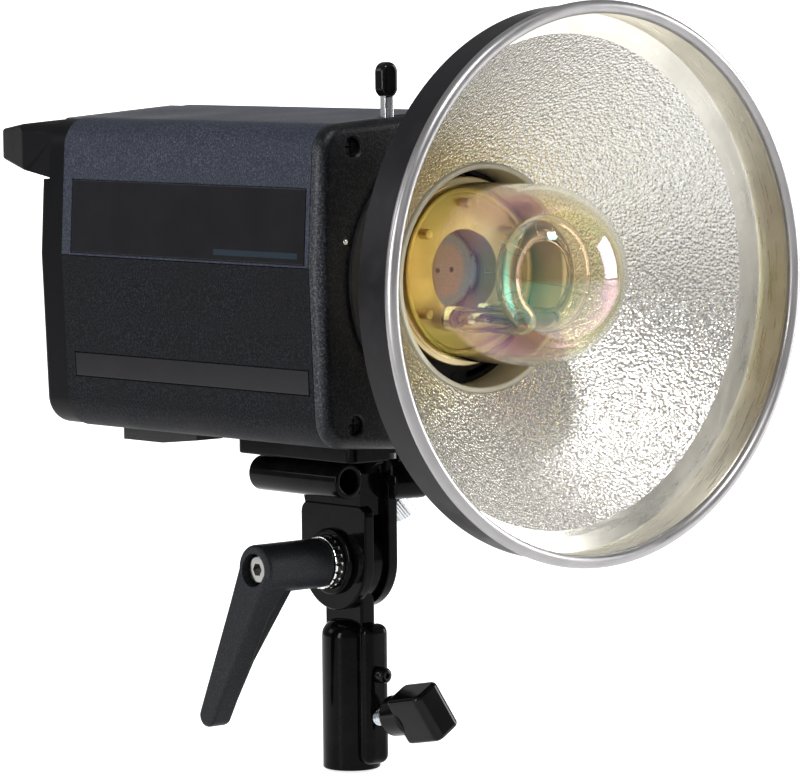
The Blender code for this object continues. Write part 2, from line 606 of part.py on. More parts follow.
def front_bezel():
    """Front moulding with a rounded edge, a lamp opening and deep corner screw wells."""
    points, radii = section()
    mesh = plate_mesh([rounded(points, radii, steps=4)], BEZEL_FRONT, BEZEL_BACK - GAP / 2.0, front_bevel=0.0045)
    bezel = place("front_bezel", mesh, HEAD, look=PAINT_BLACK)
    inner, inner_radii = section(0.0046)
    cut(bezel, plate_mesh([rounded(inner, inner_radii, steps=4)], BEZEL_FRONT + BEZEL_PLATE, 0.09), HEAD)
    cut(bezel, rod_mesh((0, 0.07, 0), (0, 0.09, 0), 0.0440, sides=40), HEAD)
    cut(bezel, lever_slot(), HEAD)
    for index, (x, z) in enumerate(((-0.0437, 0.0460), (0.0437, 0.0460), (-0.0437, -0.0490), (0.0437, -0.0490))):
        cut(bezel, rod_mesh((x, 0.07, z), (x, 0.09, z), 0.0034, sides=20), HEAD)
        screw = place("bezel_screw_%d" % (index + 1),
                      rod_mesh((x, 0.0772, z), (x, 0.0800, z), 0.0034 - GAP, sides=20), HEAD, look=PAINT_BLACK)
        cut(screw, box_mesh((x - 0.0004, 0.07, z - 0.0022), (x + 0.0004, 0.0781, z + 0.0022)), HEAD)
        cut(screw, box_mesh((x - 0.0022, 0.07, z - 0.0004), (x + 0.0022, 0.0781, z + 0.0004)), HEAD)
    return bezel


def handle_outline():
    """Plan view of the carrying handle in (x, y): two arms that lean in to a crossbar."""
    corner = HALF_CORNER
    outer = [(-corner + 0.0004, HANDLE_START), (-corner + 0.0016, 0.0278), (-corner + 0.0126, 0.0549)]
    inner = [(-corner + 0.0176, 0.0446), (-corner + 0.0106, 0.0266), (-corner + 0.0096, HANDLE_START)]
    left = rounded([outer[0], outer[1], outer[2], (0.0, 0.0571), (0.0, 0.0466), inner[0], inner[1], inner[2]],
                   [0, 0.006, 0.004, 0, 0, 0.003, 0.004, 0], steps=3)
    half = [p for p in left if p.x < -1e-6]
    split = next(i for i, p in enumerate(left) if abs(p.x) < 1e-6)
    outer_run, inner_run = half[:split], half[split:]
    mirror = [Vector((-p.x, p.y)) for p in reversed(outer_run)]
    mirror_inner = [Vector((-p.x, p.y)) for p in reversed(inner_run)]
    return outer_run + mirror + mirror_inner + inner_run


def handle_mesh():
    """The handle, thinning in height towards its crossbar."""
    mesh = plate_mesh([handle_outline()], -1.0, 1.0, "Z")
    for vert in mesh.vertices:
        t = min(max((vert.co.y - HANDLE_START) / (0.0549 - HANDLE_START), 0.0), 1.0)
        top = 0.0535 + (0.0491 - 0.0535) * t
        low = 0.0323 + (0.0379 - 0.0323) * t
        vert.co.z = top if vert.co.z > 0 else low
    return mesh


def rear_end():
    """Rear cover with a window for the control panel, and the handle seated in its corners."""
    points, radii = section(0.0004)
    mesh = plate_mesh([rounded(points, radii, steps=4)], GAP / 2.0, COVER_DEPTH, back_bevel=0.0035)
    cover = place("rear_cover", mesh, REAR, look=PAINT_BLACK)
    inner, inner_radii = section(0.0036)
    cut(cover, plate_mesh([rounded(inner, inner_radii, steps=4)], -0.0074, COVER_DEPTH - 0.0030), REAR)
    window = [(-0.0420, -0.0400), (0.0420, -0.0400), (0.0420, 0.0260), (-0.0420, 0.0260)]
    cut(cover, plate_mesh([rounded(window, 0.003)], 0.0026, 0.0226), REAR)
    handle = place("rear_handle", handle_mesh(), REAR, look=PAINT_BLACK)
    grip_points, grip_radii = section(0.0006)
    keep = plate_mesh([rounded(grip_points, grip_radii, steps=4)], -0.0074, 0.0826)
    boolean(handle, place("cut_handle_round", keep, REAR), "INTERSECT")
    for side in (-1.0, 1.0):
        low, high = sorted((side * (HALF_CORNER - 0.0104), side * (HALF_CORNER + 0.0064)))
        cut(cover, box_mesh((low, HANDLE_START - GAP, 0.0323 - GAP), (high, 0.0226, 0.0640)), REAR)
    sheet = [(x - math.copysign(GAP, x), z - math.copysign(GAP, z)) for x, z in window]
    panel = place("rear_panel", plate_mesh([rounded(sheet, 0.0027)], PANEL_FACE - PANEL_THICK, PANEL_FACE), REAR,
                  look=LABEL)
    return cover, handle, panel


def rear_controls(panel):
    """Switches, sliders, lamp, button, sensor, jack, fuse and mains inlet on the rear panel."""
    face, under = PANEL_FACE, PANEL_FACE - PANEL_THICK

    for name, x in (("power_slider", -0.0300), ("model_slider", -0.0160)):
        cut(panel, box_mesh((x - 0.0015, 0.0026, -0.0080), (x + 0.0015, 0.0226, 0.0200)), REAR)
        axis = empty(name + "_track", (x, face, 0.0060), REAR)
        knob = place(name, box_mesh((-0.0040, GAP, -0.0028), (0.0040, 0.0062, 0.0028), 0.0008, 1), axis, look=GREY)
        join(knob, box_mesh((-0.0012, -0.0045, -0.0012), (0.0012, 0.0010, 0.0012)), axis)

    for name, x in (("power_switch", -0.0290), ("model_switch", -0.0100)):
        cut(panel, box_mesh((x - 0.0062, 0.0026, -0.0365), (x + 0.0062, 0.0226, -0.0175)), REAR)
        axis = empty(name + "_axis", (x, face - 0.0016, -0.0270), REAR)
        axis.rotation_euler = (math.radians(-8.0), 0.0, 0.0)
        rocker = [(-0.0066, -0.0086), (0.0022, -0.0086), (0.0016, 0.0), (0.0022, 0.0086), (-0.0066, 0.0086),
                  (-0.0084, 0.0)]
        place(name, plate_mesh([rocker], -0.0056, 0.0056, "X"), axis, look=GLOSS_BLACK)

    cut(panel, rod_mesh((0.0040, 0.0026, 0.0080), (0.0040, 0.0226, 0.0080), 0.0035 + GAP, sides=24), REAR)
    place("test_button", rod_mesh((0.0040, under - 0.0030, 0.0080), (0.0040, face + 0.0030, 0.0080), 0.0035,
                                  sides=24, bevel=0.0006), REAR, look=RED)
    cut(panel, rod_mesh((0.0040, 0.0026, 0.0190), (0.0040, 0.0226, 0.0190), 0.0022 + GAP, sides=20), REAR)
    place("ready_lamp", rod_mesh((0.0040, under - 0.0030, 0.0190), (0.0040, face + 0.0020, 0.0190), 0.0022,
                                 end_radius=0.0022, sides=20, bevel=0.0009), REAR, look=GREEN)
    cut(panel, rod_mesh((0.0240, 0.0026, 0.0120), (0.0240, 0.0226, 0.0120), 0.0060 + GAP, sides=28), REAR)
    turned("photocell", [(0.0, 0.0), (0.0060, 0.0), (0.0060, 0.0060), (0.0054, 0.0086), (0.0036, 0.0106),
                         (0.0, 0.0114)], REAR, (0.0240, 0.0092, 0.0120), BACKWARD, RED, steps=24)
    cut(panel, rod_mesh((0.0240, 0.0026, -0.0080), (0.0240, 0.0226, -0.0080), 0.0045 + GAP, sides=24), REAR)
    turned("sync_jack", [(0.0018, 0.0), (0.0045, 0.0), (0.0045, 0.0160), (0.0040, 0.0166), (0.0018, 0.0166)],
           REAR, (0.0240, -0.0004, -0.0080), BACKWARD, STEEL, steps=24)
    cut(panel, rod_mesh((0.0050, 0.0026, -0.0270), (0.0050, 0.0226, -0.0270), 0.0058 + GAP, sides=28), REAR)
    fuse = place("fuse_cap", rod_mesh((0.0050, 0.0076, -0.0270), (0.0050, face + 0.0048, -0.0270), 0.0058,
                                      sides=28, bevel=0.0007), REAR, look=GLOSS_BLACK)
    cut(fuse, box_mesh((-0.0002, face + 0.0034, -0.0277), (0.0102, 0.0426, -0.0263)), REAR)
    opening = [(0.0140, -0.0360), (0.0400, -0.0360), (0.0400, -0.0180), (0.0140, -0.0180)]
    cut(panel, plate_mesh([rounded(opening, 0.001)], 0.0026, 0.0226), REAR)
    body = [(0.0140 + GAP, -0.0360 + GAP), (0.0400 - GAP, -0.0360 + GAP), (0.0400 - GAP, -0.0180 - GAP),
            (0.0140 + GAP, -0.0180 - GAP)]
    socket = plate_mesh([rounded(body, 0.001)], -0.0064, face + 0.0010)
    inlet = place("mains_inlet", socket, REAR, look=GLOSS_BLACK)
    cavity = [(0.0165, -0.0340), (0.0375, -0.0340), (0.0375, -0.0240), (0.0335, -0.0200), (0.0205, -0.0200),
              (0.0165, -0.0240)]
    cut(inlet, plate_mesh([cavity], 0.0006, 0.0226), REAR)
    for x, z in ((0.0200, -0.0285), (0.0270, -0.0255), (0.0340, -0.0285)):
        join(inlet, box_mesh((x - 0.0008, -0.0024, z - 0.0020), (x + 0.0008, 0.0106, z + 0.0020)), REAR)


def parabola(radius):
    """How far behind the rim the bowl's inner face lies at a radius."""
    slope = (BOWL_EDGE ** 2 - NECK_RADIUS ** 2) / (NECK_Y - BOWL_EDGE_Y)
    return NECK_Y - (radius ** 2 - NECK_RADIUS ** 2) / slope


def reflector():
    """Spun bowl with a cylindrical lip, its rolled rim and the collar at its neck."""
    lip = RIM_RADIUS - 0.0030
    start = BEAD_RADIUS + 0.0005 + GAP
    inner = [(lip, start), (lip - 0.0004, LIP_DEPTH - 0.0015)]
    steps = 7
    radii = [BOWL_EDGE + (NECK_RADIUS - BOWL_EDGE) * i / steps for i in range(steps + 1)]
    inner += [(r, parabola(r)) for r in radii]
    outer = [(lip + SHEET + 0.0003, start), (lip + SHEET, LIP_DEPTH), (BOWL_EDGE + 0.0016, BOWL_EDGE_Y + SHEET)]
    outer += [(r + SHEET * 0.72, parabola(r) + SHEET * 0.72) for r in radii[1:]]
    turned("reflector_bowl", outer + inner[::-1], HEAD, rotation=BACKWARD, look=SILVER, steps=48)
    bead = [(RIM_RADIUS - BEAD_RADIUS + BEAD_RADIUS * math.cos(a), 0.0005 + BEAD_RADIUS * math.sin(a))
            for a in (math.radians(45.0 * k) for k in range(8))]
    turned("reflector_rim", bead, HEAD, rotation=BACKWARD, look=STEEL, steps=48)
    collar = [(0.0376, 0.0572), (NECK_RADIUS - GAP - 0.0002, 0.0572), (NECK_RADIUS - GAP - 0.0002, 0.0600),
              (0.0435, 0.0600), (0.0435, 0.0618), (0.0408, 0.0618), (0.0408, 0.0733), (0.0376, 0.0733)]
    turned("reflector_collar", collar, HEAD, rotation=BACKWARD, look=CREAM, steps=40)


def lock_ring():
    """Ring behind the bezel with the lever that locks the reflector, and the lever's knob."""
    front = BEZEL_FRONT + BEZEL_PLATE + GAP
    profile = [(0.0445, front), (0.0505, front), (0.0505, front + 0.0022), (0.0445, front + 0.0022)]
    ring = turned("lock_ring", profile, HEAD, rotation=BACKWARD, look=STEEL, steps=40)
    join(ring, box_mesh((-0.0266, front, 0.0405), (-0.0226, front + 0.0028, 0.0660)), HEAD)
    knob = place("lock_knob", box_mesh((-0.0284, front - 0.0013, 0.0623), (-0.0212, front + 0.0041, 0.0746),
                                       0.0021, 3), HEAD, look=GLOSS_BLACK)
    cut(knob, box_mesh((-0.0266 - GAP, front - GAP, 0.0600), (-0.0226 + GAP, front + 0.0028 + GAP, 0.0663)), HEAD)


def lamp():
    """Mounting plate, gold base, ring flash tube, socket and the coated glass dome."""
    plate_hole = 0.0303
    outline = [(0.0468 * math.cos(a), 0.0468 * math.sin(a)) for a in (2.0 * math.pi * k / 40 for k in range(40))]
    hole = [(plate_hole * math.cos(a), LAMP_RISE + plate_hole * math.sin(a))
            for a in (2.0 * math.pi * k / 32 for k in range(32))]
    plate = place("mount_plate", plate_mesh([outline, hole], 0.0736, BEZEL_FRONT - GAP), HEAD, look=PAINT_BLACK)
    lamp_axis = empty("lamp_axis", (0.0, 0.0, LAMP_RISE), HEAD)
    turned("lamp_base", [(0.0143, 0.0), (0.0270, 0.0), (0.0270, -0.0025), (0.0290, -0.0025), (0.0290, 0.0),
                         (0.0328, 0.0), (0.0328, 0.0025), (0.0300, 0.0035), (0.0300, 0.0240), (0.0143, 0.0240)],
           lamp_axis, (0.0, BASE_FRONT, 0.0), BACKWARD, GOLD, steps=32)
    base = PARTS.objects["lamp_base"]
    for angle in (35.0, 90.0, 145.0):
        x, z = 0.0235 * math.cos(math.radians(angle)), 0.0235 * math.sin(math.radians(angle))
        join(base, rod_mesh((x, BASE_FRONT - 0.0045, z), (x, BASE_FRONT + 0.001, z), 0.0020, sides=12), lamp_axis)
    place("lamp_socket", rod_mesh((0, BASE_FRONT + 0.0100, 0), (0, BASE_FRONT + 0.0235, 0), 0.0140, sides=32),
          lamp_axis, look=CERAMIC)
    for x in (-0.0032, 0.0032):
        cut(PARTS.objects["lamp_socket"], rod_mesh((x, 0.07, 0), (x, BASE_FRONT + 0.0180, 0), 0.0010, sides=12),
            lamp_axis)

    opening = math.radians(40.0)
    start = -math.pi / 2.0 + opening
    count = 20
    arc = [start + (2.0 * math.pi - 2.0 * opening) * k / count for k in range(count + 1)]
    bend = 0.0050
    left = Vector((math.cos(arc[0]), 0, math.sin(arc[0])))
    right = Vector((math.cos(arc[-1]), 0, math.sin(arc[-1])))
    run_left = Vector((math.sin(arc[0]), 0, -math.cos(arc[0])))
    run_right = Vector((-math.sin(arc[-1]), 0, math.cos(arc[-1])))

    def leg(radial, run):
        root = radial * RING_RADIUS + Vector((0, RING_Y, 0))
        turn = [root + run * bend * math.sin(a) + Vector((0, bend * (1.0 - math.cos(a)), 0))
                for a in (math.radians(18.0 * k) for k in range(1, 6))]
        end = turn[-1].copy()
        end.y = BASE_FRONT - GAP
        return turn + [turn[-1].lerp(end, 0.5), end]

    points = leg(left, run_left)[::-1]
    points += [Vector((RING_RADIUS * math.cos(a), RING_Y, RING_RADIUS * math.sin(a))) for a in arc]
    points += leg(right, run_right)
    place("flash_tube", tube_mesh(points, RING_TUBE, 2), lamp_axis, look=QUARTZ)

    shell = []
    for radius in (DOME_RADIUS, DOME_RADIUS - DOME_WALL):
        side = [(radius, BASE_FRONT - GAP)]
        side += [(radius * math.cos(a), DOME_CENTRE_Y - radius * math.sin(a))
                 for a in (math.radians(15.0 * k) for k in range(6))]
        side += [(0.0, DOME_CENTRE_Y - radius)]
        shell.append(side)
    turned("glass_dome", shell[0] + shell[1][::-1], lamp_axis, rotation=BACKWARD, look=GLASS, steps=32)
    return plate


def internals():
    """Chassis, capacitors, circuit board and cooling fan inside the housing."""
    half, sheet = 0.0450, 0.0016
    floor = shell_floor(half) + GAP
    chassis = place("chassis", box_mesh((-half, 0.0950, floor), (half, SHELL_BACK - 0.0024, floor + sheet)), HEAD,
                    look=ZINC)
    join(chassis, box_mesh((-half, -0.0024 - sheet, floor + 0.0004), (half, -0.0024, 0.0400)), REAR)
    cut(chassis, rod_mesh((0, -0.0174, 0.0120), (0, 0.0026, 0.0120), 0.0270, sides=32), REAR)
    cut(chassis, box_mesh((0.0120, -0.0074, -0.0380), (0.0470, -0.0004, -0.0160)), REAR)
    base = floor + sheet + GAP
    for x, word in ((-CAN_RADIUS - 0.0020, "left"), (CAN_RADIUS + 0.0020, "right")):
        can = rod_mesh((x, 0.0950, base + CAN_RADIUS), (x, SHELL_BACK - 0.0294, base + CAN_RADIUS), CAN_RADIUS,
                       sides=28, bevel=0.0012)
        place("capacitor_" + word, can, HEAD, look=SLEEVE)
    top = base + 2.0 * CAN_RADIUS + GAP
    board = box_mesh((-0.0460, 0.0960, top), (0.0460, SHELL_BACK - 0.0274, top + 0.0016))
    place("circuit_board", board, HEAD, look=GREEN)
    centre = 0.0120
    square = box_mesh((-0.0300, -0.0194, centre - 0.0300), (0.0300, -0.0043, centre + 0.0300), 0.002, 1, along=1)
    frame = place("fan_frame", square, REAR, look=PAINT_BLACK)
    cut(frame, rod_mesh((0, -0.0274, centre), (0, 0.0026, centre), 0.0280, sides=32), REAR)
    join(frame, box_mesh((-0.0290, -0.0063, centre - 0.0020), (0.0290, -0.0045, centre + 0.0020)), REAR)
    join(frame, rod_mesh((0, -0.0066, centre), (0, -0.0045, centre), 0.0095, sides=24), REAR)
    axis = empty("fan_axis", (0.0, 0.0, centre), REAR)
    drum = rod_mesh((0, -0.0179, 0), (0, -0.0066 - GAP, 0), 0.0100, sides=24)
    rotor = place("fan_rotor", drum, axis, look=LEVER_BLACK)
    for k in range(5):
        blade = box_mesh((0.0090, -0.0050, -0.0007), (0.0265, 0.0050, 0.0007))
        tilt = Matrix.Rotation(math.radians(32.0), 3, "X")
        spin = Matrix.Rotation(math.radians(72.0 * k), 3, "Y")
        join(rotor, blade, axis, (0.0, -0.0122, 0.0), (spin @ tilt).to_euler())


def build():
    stand_receptor()
    receptor_set_screw()
    stand_clamp()
    tilt_bracket()
    umbrella_holder()
    clamp_lever()
    housing()
    front_bezel()
    _, _, panel = rear_end()
    rear_controls(panel)
    reflector()
    lock_ring()
    lamp()
    internals()


build()
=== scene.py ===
"""Fine shapes and finishes of a mains studio flash head, built around its fixed frame.

Pieces of the head are modelled about the centre of the reflector's mouth and moved to
HEAD when they are finished. Pieces of the stand fitting are modelled where they stand.
"""

import logging
import math
from dataclasses import dataclass
from enum import Enum
from typing import Optional, Sequence

import bmesh
import bpy
from bmesh.types import BMesh
from bpy.types import Material, Node, NodeSocket, Object
from mathutils import Matrix, Vector


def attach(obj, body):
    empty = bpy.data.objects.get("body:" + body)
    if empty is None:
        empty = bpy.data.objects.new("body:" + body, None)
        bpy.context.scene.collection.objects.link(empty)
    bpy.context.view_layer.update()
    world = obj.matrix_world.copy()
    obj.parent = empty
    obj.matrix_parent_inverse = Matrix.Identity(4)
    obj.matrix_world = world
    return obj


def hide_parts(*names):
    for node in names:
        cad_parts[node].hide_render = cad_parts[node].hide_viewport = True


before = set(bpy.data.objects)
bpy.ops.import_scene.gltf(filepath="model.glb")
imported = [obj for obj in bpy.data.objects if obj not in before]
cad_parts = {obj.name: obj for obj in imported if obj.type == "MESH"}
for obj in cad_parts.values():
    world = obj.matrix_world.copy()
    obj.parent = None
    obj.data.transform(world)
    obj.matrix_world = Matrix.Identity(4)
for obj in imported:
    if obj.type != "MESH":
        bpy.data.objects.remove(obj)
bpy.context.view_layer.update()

LOG = logging.getLogger("flash_head")
HEAD = Vector((0.0, -0.1305, 0.1375))
PIVOT = Vector((0.0, 0.0, 0.0343))
GAP = 0.0003
BRACKET_SCREWS = (0.1095, 0.1625)
BRACKET_SCREW_HOLE = 0.0021
UMBRELLA_SCREW = Vector((0.0200, 0.1270, -0.0838))
UMBRELLA_SCREW_WAY = Vector((0.70, 0.0, -0.714)).normalized()

Pair = tuple[float, float]
Triple = tuple[float, float, float]
Colour = tuple[float, float, float]


class Axis(Enum):
    """World axis that a plate is raised along or a profile is spun about."""

    X = 0
    Y = 1
    Z = 2


class Join(Enum):
    """What an exact boolean does with its tool."""

    ADD = "UNION"
    CUT = "DIFFERENCE"
    KEEP = "INTERSECT"


class Side(Enum):
    """Left and right as seen from the lamp's back, facing the way it shines."""

    LEFT = -1.0
    RIGHT = 1.0


# ---- shader nodes --------------------------------------------------------------------
class Shading:
    """A material's node tree, with short calls for the patterns used here."""

    def __init__(self, name: str) -> None:
        """Starts a material.

        Args:
            name: The finish's plain name.
        """
        self.material: Material = bpy.data.materials.new(name)
        self.material.use_nodes = True
        self.tree = self.material.node_tree
        self.surface: Node = self.tree.nodes["Principled BSDF"]
        self.place: NodeSocket = self.tree.nodes.new("ShaderNodeTexCoord").outputs["Object"]

    def set(self, **values: object) -> None:
        """Sets the surface's sockets to constants; underscores stand for spaces."""
        for key, value in values.items():
            if isinstance(value, tuple) and len(value) == 3:
                value = (*value, 1.0)
            self.surface.inputs[key.replace("_", " ")].default_value = value

    def link(self, source: NodeSocket, target: str) -> None:
        """Feeds one of the surface's sockets."""
        self.tree.links.new(source, self.surface.inputs[target])

    def stretched(self, scale: Triple, shift: Triple = (0.0, 0.0, 0.0)) -> NodeSocket:
        """Object coordinates moved and scaled along each axis.

        Args:
            scale: Factor along X, Y and Z.
            shift: Offset added after scaling.

        Returns:
            The mapped vector.
        """
        mapping = self.tree.nodes.new("ShaderNodeMapping")
        mapping.inputs["Scale"].default_value = scale
        mapping.inputs["Location"].default_value = shift
        self.tree.links.new(self.place, mapping.inputs["Vector"])
        return mapping.outputs["Vector"]

    def noise(self, scale: float, detail: float = 2.0, rough: float = 0.5,
              where: Optional[NodeSocket] = None) -> NodeSocket:
        """Cloud-like pattern with about scale features to the metre.

        Args:
            scale: Features to the metre.
            detail: Number of finer layers.
            rough: Strength of the finer layers.
            where: Vector to read in place of Object coordinates.

        Returns:
            A value from 0 to 1.
        """
        node = self.tree.nodes.new("ShaderNodeTexNoise")
        node.inputs["Scale"].default_value = scale
        node.inputs["Detail"].default_value = detail
        node.inputs["Roughness"].default_value = rough
        self.tree.links.new(where or self.place, node.inputs["Vector"])
        return node.outputs["Fac"]

    def cells(self, scale: float, smooth: float = 0.6) -> NodeSocket:
        """Rounded cells, as hammer marks leave, by distance from their centres.

        Args:
            scale: Cells to the metre.
            smooth: Softness of the borders.

        Returns:
            The distance.
        """
        node = self.tree.nodes.new("ShaderNodeTexVoronoi")
        node.feature = "SMOOTH_F1"
        node.inputs["Scale"].default_value = scale
        node.inputs["Smoothness"].default_value = smooth
        self.tree.links.new(self.place, node.inputs["Vector"])
        return node.outputs["Distance"]

    def sum(self, kind: str, a: NodeSocket, b: object) -> NodeSocket:
        """One arithmetic step.

        Args:
            kind: The Math node's operation.
            a: First value.
            b: Second value, a socket or a number.

        Returns:
            The result.
        """
        node = self.tree.nodes.new("ShaderNodeMath")
        node.operation = kind
        self.tree.links.new(a, node.inputs[0])
        if isinstance(b, NodeSocket):
            self.tree.links.new(b, node.inputs[1])
        else:
            node.inputs[1].default_value = float(b)
        return node.outputs[0]

    def range(self, value: NodeSocket, low: float, high: float, out_low: float,
              out_high: float) -> NodeSocket:
        """Carries a value from one range to another, held at the ends.

        Args:
            value: The value.
            low: Start of the range it comes from.
            high: End of that range.
            out_low: What low becomes.
            out_high: What high becomes.

        Returns:
            The carried value.
        """
        node = self.tree.nodes.new("ShaderNodeMapRange")
        sockets = ("From Min", "From Max", "To Min", "To Max")
        for socket, number in zip(sockets, (low, high, out_low, out_high)):
            node.inputs[socket].default_value = number
        self.tree.links.new(value, node.inputs["Value"])
        return node.outputs["Result"]

    def blend(self, amount: NodeSocket, first: object, second: object) -> NodeSocket:
        """Mixes two colours.

        Args:
            amount: 0 gives the first colour and 1 the second.
            first: A colour or a colour socket.
            second: A colour or a colour socket.

        Returns:
            The mixed colour.
        """
        node = self.tree.nodes.new("ShaderNodeMix")
        node.data_type = "RGBA"
        self.tree.links.new(amount, node.inputs["Factor"])
        for socket, value in ((node.inputs[6], first), (node.inputs[7], second)):
            if isinstance(value, NodeSocket):
                self.tree.links.new(value, socket)
            else:
                socket.default_value = (*value, 1.0)
        return node.outputs[2]

    def bump(self, height: NodeSocket, depth: float, strength: float = 1.0,
             under: Optional[NodeSocket] = None) -> NodeSocket:
        """Surface relief.

        Args:
            height: Height pattern, 0 to 1.
            depth: Height in metres of a full step.
            strength: Share of the effect.
            under: Relief that this one lies on.

        Returns:
            The bent normal.
        """
        node = self.tree.nodes.new("ShaderNodeBump")
        node.inputs["Strength"].default_value = strength
        node.inputs["Distance"].default_value = depth
        self.tree.links.new(height, node.inputs["Height"])
        if under:
            self.tree.links.new(under, node.inputs["Normal"])
        return node.outputs["Normal"]

    def axes(self) -> tuple[NodeSocket, NodeSocket, NodeSocket]:
        """The three Object coordinates as separate values.

        Returns:
            X, Y and Z.
        """
        node = self.tree.nodes.new("ShaderNodeSeparateXYZ")
        self.tree.links.new(self.place, node.inputs[0])
        return node.outputs[0], node.outputs[1], node.outputs[2]

    def reach(self, centre: Triple, scale: Triple = (1.0, 1.0, 1.0)) -> NodeSocket:
        """Distance from a point, in metres, with each axis weighted.

        Args:
            centre: The point, in the object's coordinates.
            scale: Weight of each axis.

        Returns:
            The distance.
        """
        shift = tuple(-c * s for c, s in zip(centre, scale))
        node = self.tree.nodes.new("ShaderNodeVectorMath")
        node.operation = "LENGTH"
        self.tree.links.new(self.stretched(scale, shift), node.inputs[0])
        return node.outputs["Value"]


# ---- finishes ------------------------------------------------------------------------
@dataclass(frozen=True)
class CrinklePaint:
    """Baked paint with a fine, even grain, whose raised points are lightened as painted sparkle."""

    name: str
    colour: Colour
    light: Colour
    grain: float = 1500.0
    depth: float = 0.00022
    roughness: float = 0.55
    strength: float = 0.5
    gloss: float = 0.22
    # Painted highlight band along both sides: where it starts in x, its width, its share and how much lighter
    # it is.
    edge: float = 0.0
    edge_width: float = 0.0022
    edge_share: float = 0.75
    edge_highlight_lift: float = 4.6

    def make(self) -> Material:
        """Builds the material.

        Returns:
            The material.
        """
        s = Shading(self.name)
        grain = s.noise(self.grain, 3.0, 0.6)
        patch = s.noise(35.0, 3.0, 0.5)
        # Painted sparkle: the grain's raised points are lightened, more in some patches than others, standing
        # in for light caught on the crinkle's ridges.
        peaks = s.range(grain, 0.46, 0.66, 0.0, 1.0)
        painted_sparkle = s.sum("MULTIPLY", peaks, s.range(patch, 0.3, 0.7, 0.55, 1.0))
        colour = s.blend(painted_sparkle, self.colour, self.light)
        # Painted highlight: a lighter band from |x| = edge outwards on both sides, standing in for light
        # caught on a rounded outer edge.
        if self.edge:
            across = s.sum("ABSOLUTE", s.axes()[0], 0.0)
            side = s.range(across, self.edge, self.edge + self.edge_width, 0.0, self.edge_share)
            painted_edge_highlight = s.blend(peaks, self.light, tuple(c * self.edge_highlight_lift for c in self.light))
            colour = s.blend(side, colour, painted_edge_highlight)
        s.link(colour, "Base Color")
        s.link(s.range(patch, 0.3, 0.7, self.roughness - 0.05, self.roughness + 0.06), "Roughness")
        s.link(s.bump(grain, self.depth, self.strength), "Normal")
        s.set(Specular_IOR_Level=self.gloss)
        return s.material


@dataclass(frozen=True)
class Enamel:
    """Smooth paint or moulding with a faint orange peel."""

    name: str
    colour: Colour
    roughness: float = 0.12
    gloss: float = 0.22
    peel: float = 260.0
    depth: float = 0.00004

    def make(self) -> Material:
        """Builds the material.

        Returns:
            The material.
        """
        s = Shading(self.name)
        patch = s.noise(90.0, 4.0, 0.6)
        lift = tuple(c * 1.9 + 0.002 for c in self.colour)
        s.link(s.blend(s.range(patch, 0.45, 0.8, 0.0, 1.0), self.colour, lift), "Base Color")
        s.link(s.range(patch, 0.3, 0.75, self.roughness * 0.8, self.roughness * 1.35), "Roughness")
        s.set(Specular_IOR_Level=self.gloss)
        s.link(s.bump(s.noise(self.peel, 2.0), self.depth, 0.5), "Normal")
        return s.material


@dataclass(frozen=True)
class TurnedMetal:
    """Metal with fine tool lines along one axis's planes."""

    name: str
    colour: Colour
    roughness: float = 0.22
    axis: Axis = Axis.Y
    lines: float = 5200.0
    strength: float = 0.18

    def make(self) -> Material:
        """Builds the material.

        Returns:
            The material.
        """
        s = Shading(self.name)
        scale = [60.0, 60.0, 60.0]
        scale[self.axis.value] = self.lines
        lines = s.noise(1.0, 3.0, 0.6, s.stretched(tuple(scale)))
        cloud = s.noise(70.0, 3.0)
        dark = tuple(c * 0.72 for c in self.colour)
        s.link(s.blend(s.range(cloud, 0.35, 0.7, 0.0, 0.5), self.colour, dark), "Base Color")
        s.link(s.range(lines, 0.3, 0.7, self.roughness * 0.75, self.roughness * 1.4), "Roughness")
        s.link(s.bump(lines, 0.00003, self.strength), "Normal")
        s.set(Metallic=1.0)
        return s.material


@dataclass(frozen=True)
class HammeredSilver:
    """Bright sheet with the sparkling grain of a peened reflector."""

    name: str
    colour: Colour
    roughness: float = 0.20
    grain: float = 900.0
    depth: float = 0.0008

    def make(self) -> Material:
        """Builds the material.

        Returns:
            The material.
        """
        s = Shading(self.name)
        cells = s.cells(self.grain, 0.45)
        fine = s.noise(self.grain * 1.7, 2.0, 0.55)
        height = s.sum("ADD", cells, s.sum("MULTIPLY", fine, 0.55))
        dark = tuple(c * 0.62 for c in self.colour)
        s.link(s.blend(s.range(fine, 0.38, 0.62, 0.0, 1.0), dark, self.colour), "Base Color")
        s.link(s.range(fine, 0.3, 0.7, self.roughness * 0.7, self.roughness * 1.5), "Roughness")
        s.link(s.bump(height, self.depth, 0.5), "Normal")
        s.set(Metallic=1.0)
        return s.material


@dataclass(frozen=True)
class ClearGlass:
    """Clear quartz or glass with the faintest waves."""

    name: str
    tint: Colour = (1.0, 0.985, 0.93)
    waves: float = 45.0

    def make(self) -> Material:
        """Builds the material.

        Returns:
            The material.
        """
        s = Shading(self.name)
        s.set(Transmission_Weight=1.0, IOR=1.45)
        cloud = s.noise(self.waves, 2.0)
        s.link(s.blend(cloud, self.tint, tuple(min(1.0, c * 1.03) for c in self.tint)), "Base Color")
        s.link(s.range(cloud, 0.3, 0.7, 0.0, 0.02), "Roughness")
        s.link(s.bump(cloud, 0.0006, 0.12), "Normal")
        return s.material


